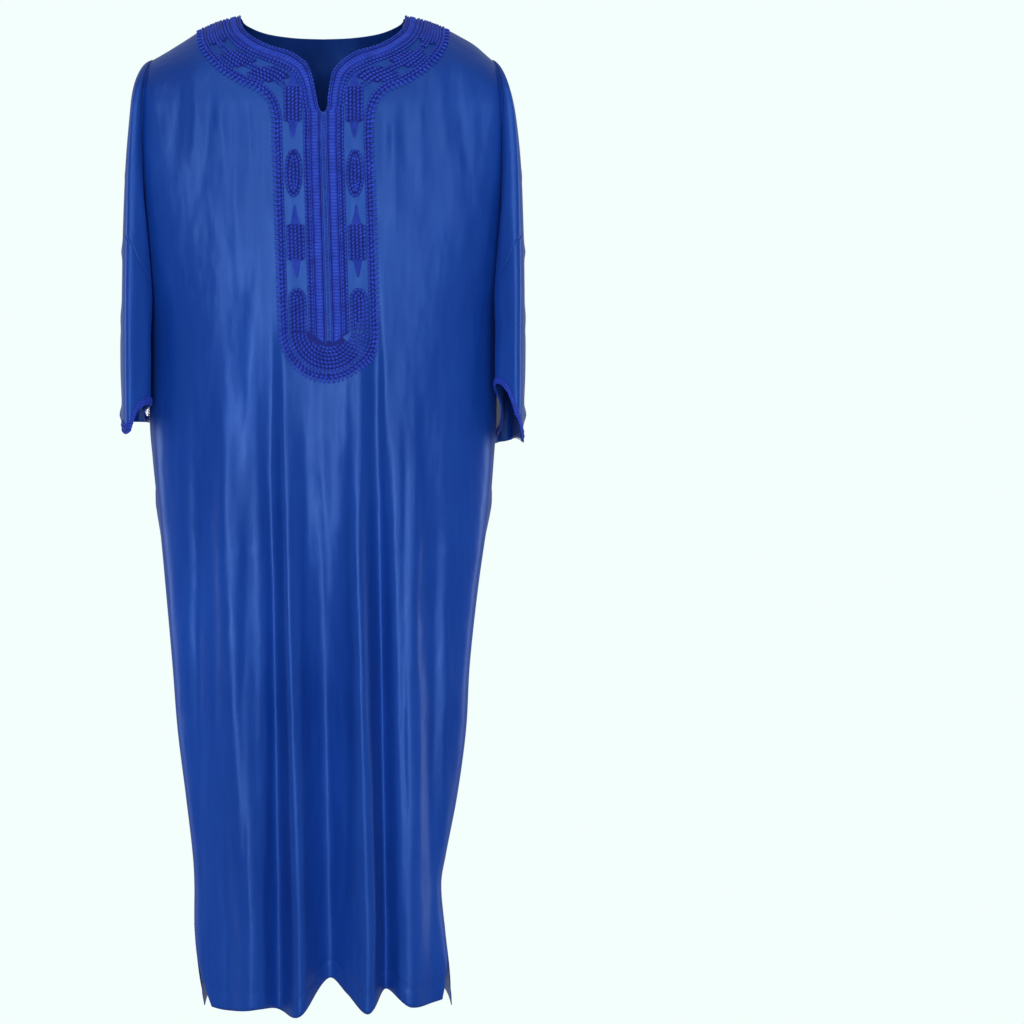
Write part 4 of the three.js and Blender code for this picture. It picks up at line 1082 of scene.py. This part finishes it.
for side, half in SIDES:
    def middle(z):
        return float(CENTRE("x", z)) + half * MOTIF_X

    for name, make, sizes, kind in (
        ("upper_spade", spade, (-101, -121, -169, -190), "stitched"),
        ("lower_spade", spade, (-279, -303, -351, -373), "stitched"),
        ("upper_oval", filled_oval, (-236, 11.2, 31), "cords"),
        ("lower_oval", filled_oval, (-404, 10.8, 15, True), "cords"),
    ):
        work = Work()
        make(work, middle, *sizes)
        work.finish(f"{name}_{side}_{kind}", CORD, f"{name}_{side}")

    # The yoke between the neck braid and the border: blocks of chain rows with points between.
    far = offset(border_line(half), -(BORDER_WIDTH + 0.4) * half)
    far = far[: int(np.argmax(far[:, 1] < -150))]
    near = spline(sided(NECK_BRAID_EDGE, half), 30)[1]
    near, far = (resampled(even(line, 0.5), 300) for line in (near, far))

    def yoke_row(start, stop, t):
        s, share = np.linspace(start, stop, 40), np.linspace(0, 1, 300)
        return along((share, near), s) * (1 - t) + along((share, far), s) * t

    for name, start, stop in YOKE_MOTIFS:
        work = Work()
        shade_pad(yoke_row(start, stop, 0.04), yoke_row(start, stop, 0.96))
        for t in np.linspace(0.09, 0.91, 6):
            inset = 0.028 * (abs(t - 0.5) * 2) ** 2
            reach = 0.05 * max(0, 1 - (abs(t - 0.5) / 0.24) ** 2)
            first = start if start == 0 else start + inset - reach
            work.lay(yoke_row(first, stop - inset + reach, t), 2.1, 5.0)
        work.finish(f"{name}_{side}_cords", CORD, f"{name}_{side}")

motif_shade_sheet.finish("motif_shade_sheet", SHADE_SHEET)

# Back neck braid.
back = Work()


def back_line(row):
    """Line across the back at a row of the panel's grid, from the wearer's right to the left."""
    lines = []
    for half in (-1, 1):
        s = np.linspace(0, NECK_SHARE, 130)[::half]
        top = column_top("back", half, s)[1]
        lines.append(body_point("back", half, s, row_height(np.full(s.shape, row), top, 0.0)))
    return np.concatenate([lines[0], lines[1][1:]])


edge_line, low_line = back_line(0.0), back_line(3.0)
for f, radius in ((0.08, 1.3), (0.26, 1.4), (0.44, 1.3), (0.62, 1.5), (0.80, 1.3), (0.95, 1.1)):
    laid = surfaces["back"].nearest(edge_line + (low_line - edge_line) * f)
    back.cord(*respaced(*laid, 0.95), radius, 3.9)
back.finish("back_neck_cords", CORD, "back_neck_braid")

# Cuff braids.
for side, half in SIDES:
    grid = sleeve_grid(half)
    surface = Surface(*weld([(grid, half < 0, np.zeros((1, 1)))])[:2])
    cuff = Work()
    length = CUFF_BRAID_HEIGHT / (OVERARM_SEAM_END_Z - CUFF["front"].column["left"][-1])
    for f, radius in ((0.10, 1.35), (0.29, 1.2), (0.50, 1.75), (0.72, 1.2), (0.92, 1.35)):
        down = (1 - length * (1 - f)) * (len(SLEEVE_DOWN) - 1)
        low = min(int(down), len(SLEEVE_DOWN) - 2)
        laid = surface.nearest(mix(grid[low], grid[low + 1], down - low))
        cuff.cord(*respaced(*laid, 1.0), radius, 4.2)
    cuff.finish(f"cuff_{side}_cords", CORD, f"cuff_braid_{side}")


# ---------------------------------------------------------------- sewing
def sew(surface, line, pitch=4.2, stitch=3):
    """Small stitches along a line near a surface, a quarter of the pitch between their points."""
    places, normals = surface.nearest(even(line, pitch / 4))
    for k in range(0, len(places) - stitch, 4):
        sewing.tube(places[k:k + stitch + 1], normals[k:k + stitch + 1], 0.34, ring=5, lift=0.4)


sewing = Work()
for face, surface in surfaces.items():
    for half in (1, -1):
        grid = body_grid(face, half)
        numbers = np.arange(len(grid))
        hem = []
        for column in grid[::-1].transpose(1, 0, 2):
            row = np.interp(HEM_BAND, hem_height(face, column), numbers)
            hem.append([np.interp(row, numbers, column[:, i]) for i in range(3)])
        sew(surface, hem[:-3])
        vent = mix(grid[-60:, -1], grid[-60:, -4], 0.8)
        sew(surface, vent[vent[:, 2] < VENT_TOP_Z + 12])
# the stitched edge of the facing round the back of the neck
x, z = spline([(-186, -56), (-140, -62), (-80, -68), (0, -70), (80, -68), (140, -62), (186, -56)], 30)[1].T
deep = RIDGE_Y + (BODY("back", z) - RIDGE_Y) * cap_share("back", z, np.maximum(ridge_at(x), z + 1))
sew(surfaces["back"], np.stack([x, deep, z], axis=1))
sewing.finish("sewing", STITCH)

# ---------------------------------------------------------------- stage, light and camera
# A plain white room with a pale floor, far round the garment, that only the camera sees.
room_white = bpy.data.materials.new("room_white")
room_white.use_nodes = True
tree = room_white.node_tree
glow = node(tree, "ShaderNodeEmission", {"Color": (0.90, 1.0, 0.975, 1)})
fill(tree, tree.nodes["Material Output"], {"Surface": glow["Emission"]})
room_mesh = bpy.data.meshes.new("room")
corners = [(x, y, z) for z in (-8, 8) for y in (-8, 8) for x in (-8, 8)]
sides = [(0, 1, 3, 2), (4, 6, 7, 5), (0, 4, 5, 1), (2, 3, 7, 6), (0, 2, 6, 4), (1, 5, 7, 3)]
room_mesh.from_pydata(corners, [], sides)
room_mesh.materials.append(room_white)
room = bpy.data.objects.new("room", room_mesh)
bpy.context.scene.collection.objects.link(room)
room.visible_diffuse = room.visible_glossy = room.visible_shadow = room.visible_transmission = False

scene = bpy.context.scene
world = bpy.data.worlds.new("soft_room")
world.use_nodes = True
fill(world.node_tree, world.node_tree.nodes["Background"], {"Color": (0.85, 0.93, 1.0, 1), "Strength": 0.40})
scene.world = world

for name, place, target, size, size_y, energy in (
    ("key", (-0.35, -3.0, -0.85), (0, 0, -0.8), 0.40, 2.1, 41),
    ("second", (0.6, -2.9, -0.6), (0, 0, -0.8), 0.2, 2.0, 13),
    ("top", (-0.1, -1.5, 1.5), (0, 0, -0.2), 1.0, 1.0, 9),
    ("side_left", (3.0, 0.3, -0.45), (0, 0, -0.75), 0.9, 2.4, 30),
    ("side_right", (-3.0, 0.3, -0.45), (0, 0, -0.75), 0.9, 2.4, 30),
    ("rear", (0.35, 3.2, -0.6), (0, 0, -0.8), 0.4, 2.3, 26),
):
    lamp = bpy.data.lights.new(name, "AREA")
    lamp.shape = "RECTANGLE"
    lamp.size, lamp.size_y, lamp.energy = size, size_y, energy
    obj = bpy.data.objects.new(name, lamp)
    obj.location = place
    obj.rotation_euler = (Vector(target) - Vector(place)).to_track_quat("-Z", "Y").to_euler()
    scene.collection.objects.link(obj)

scene.view_settings.view_transform = "Standard"
camera_data = bpy.data.cameras.new("camera")
camera_data.lens = 68.54
camera_data.sensor_width = 36
camera_data.shift_x = 0.1846
camera_data.shift_y = -0.03
camera_data.clip_start = 0.05
camera_data.clip_end = 50
camera = bpy.data.objects.new("camera", camera_data)
camera.location = (0, -2.726, -0.584)
camera.rotation_euler = (math.radians(90 - 1.29), 0, 0)
scene.collection.objects.link(camera)
scene.camera = camera
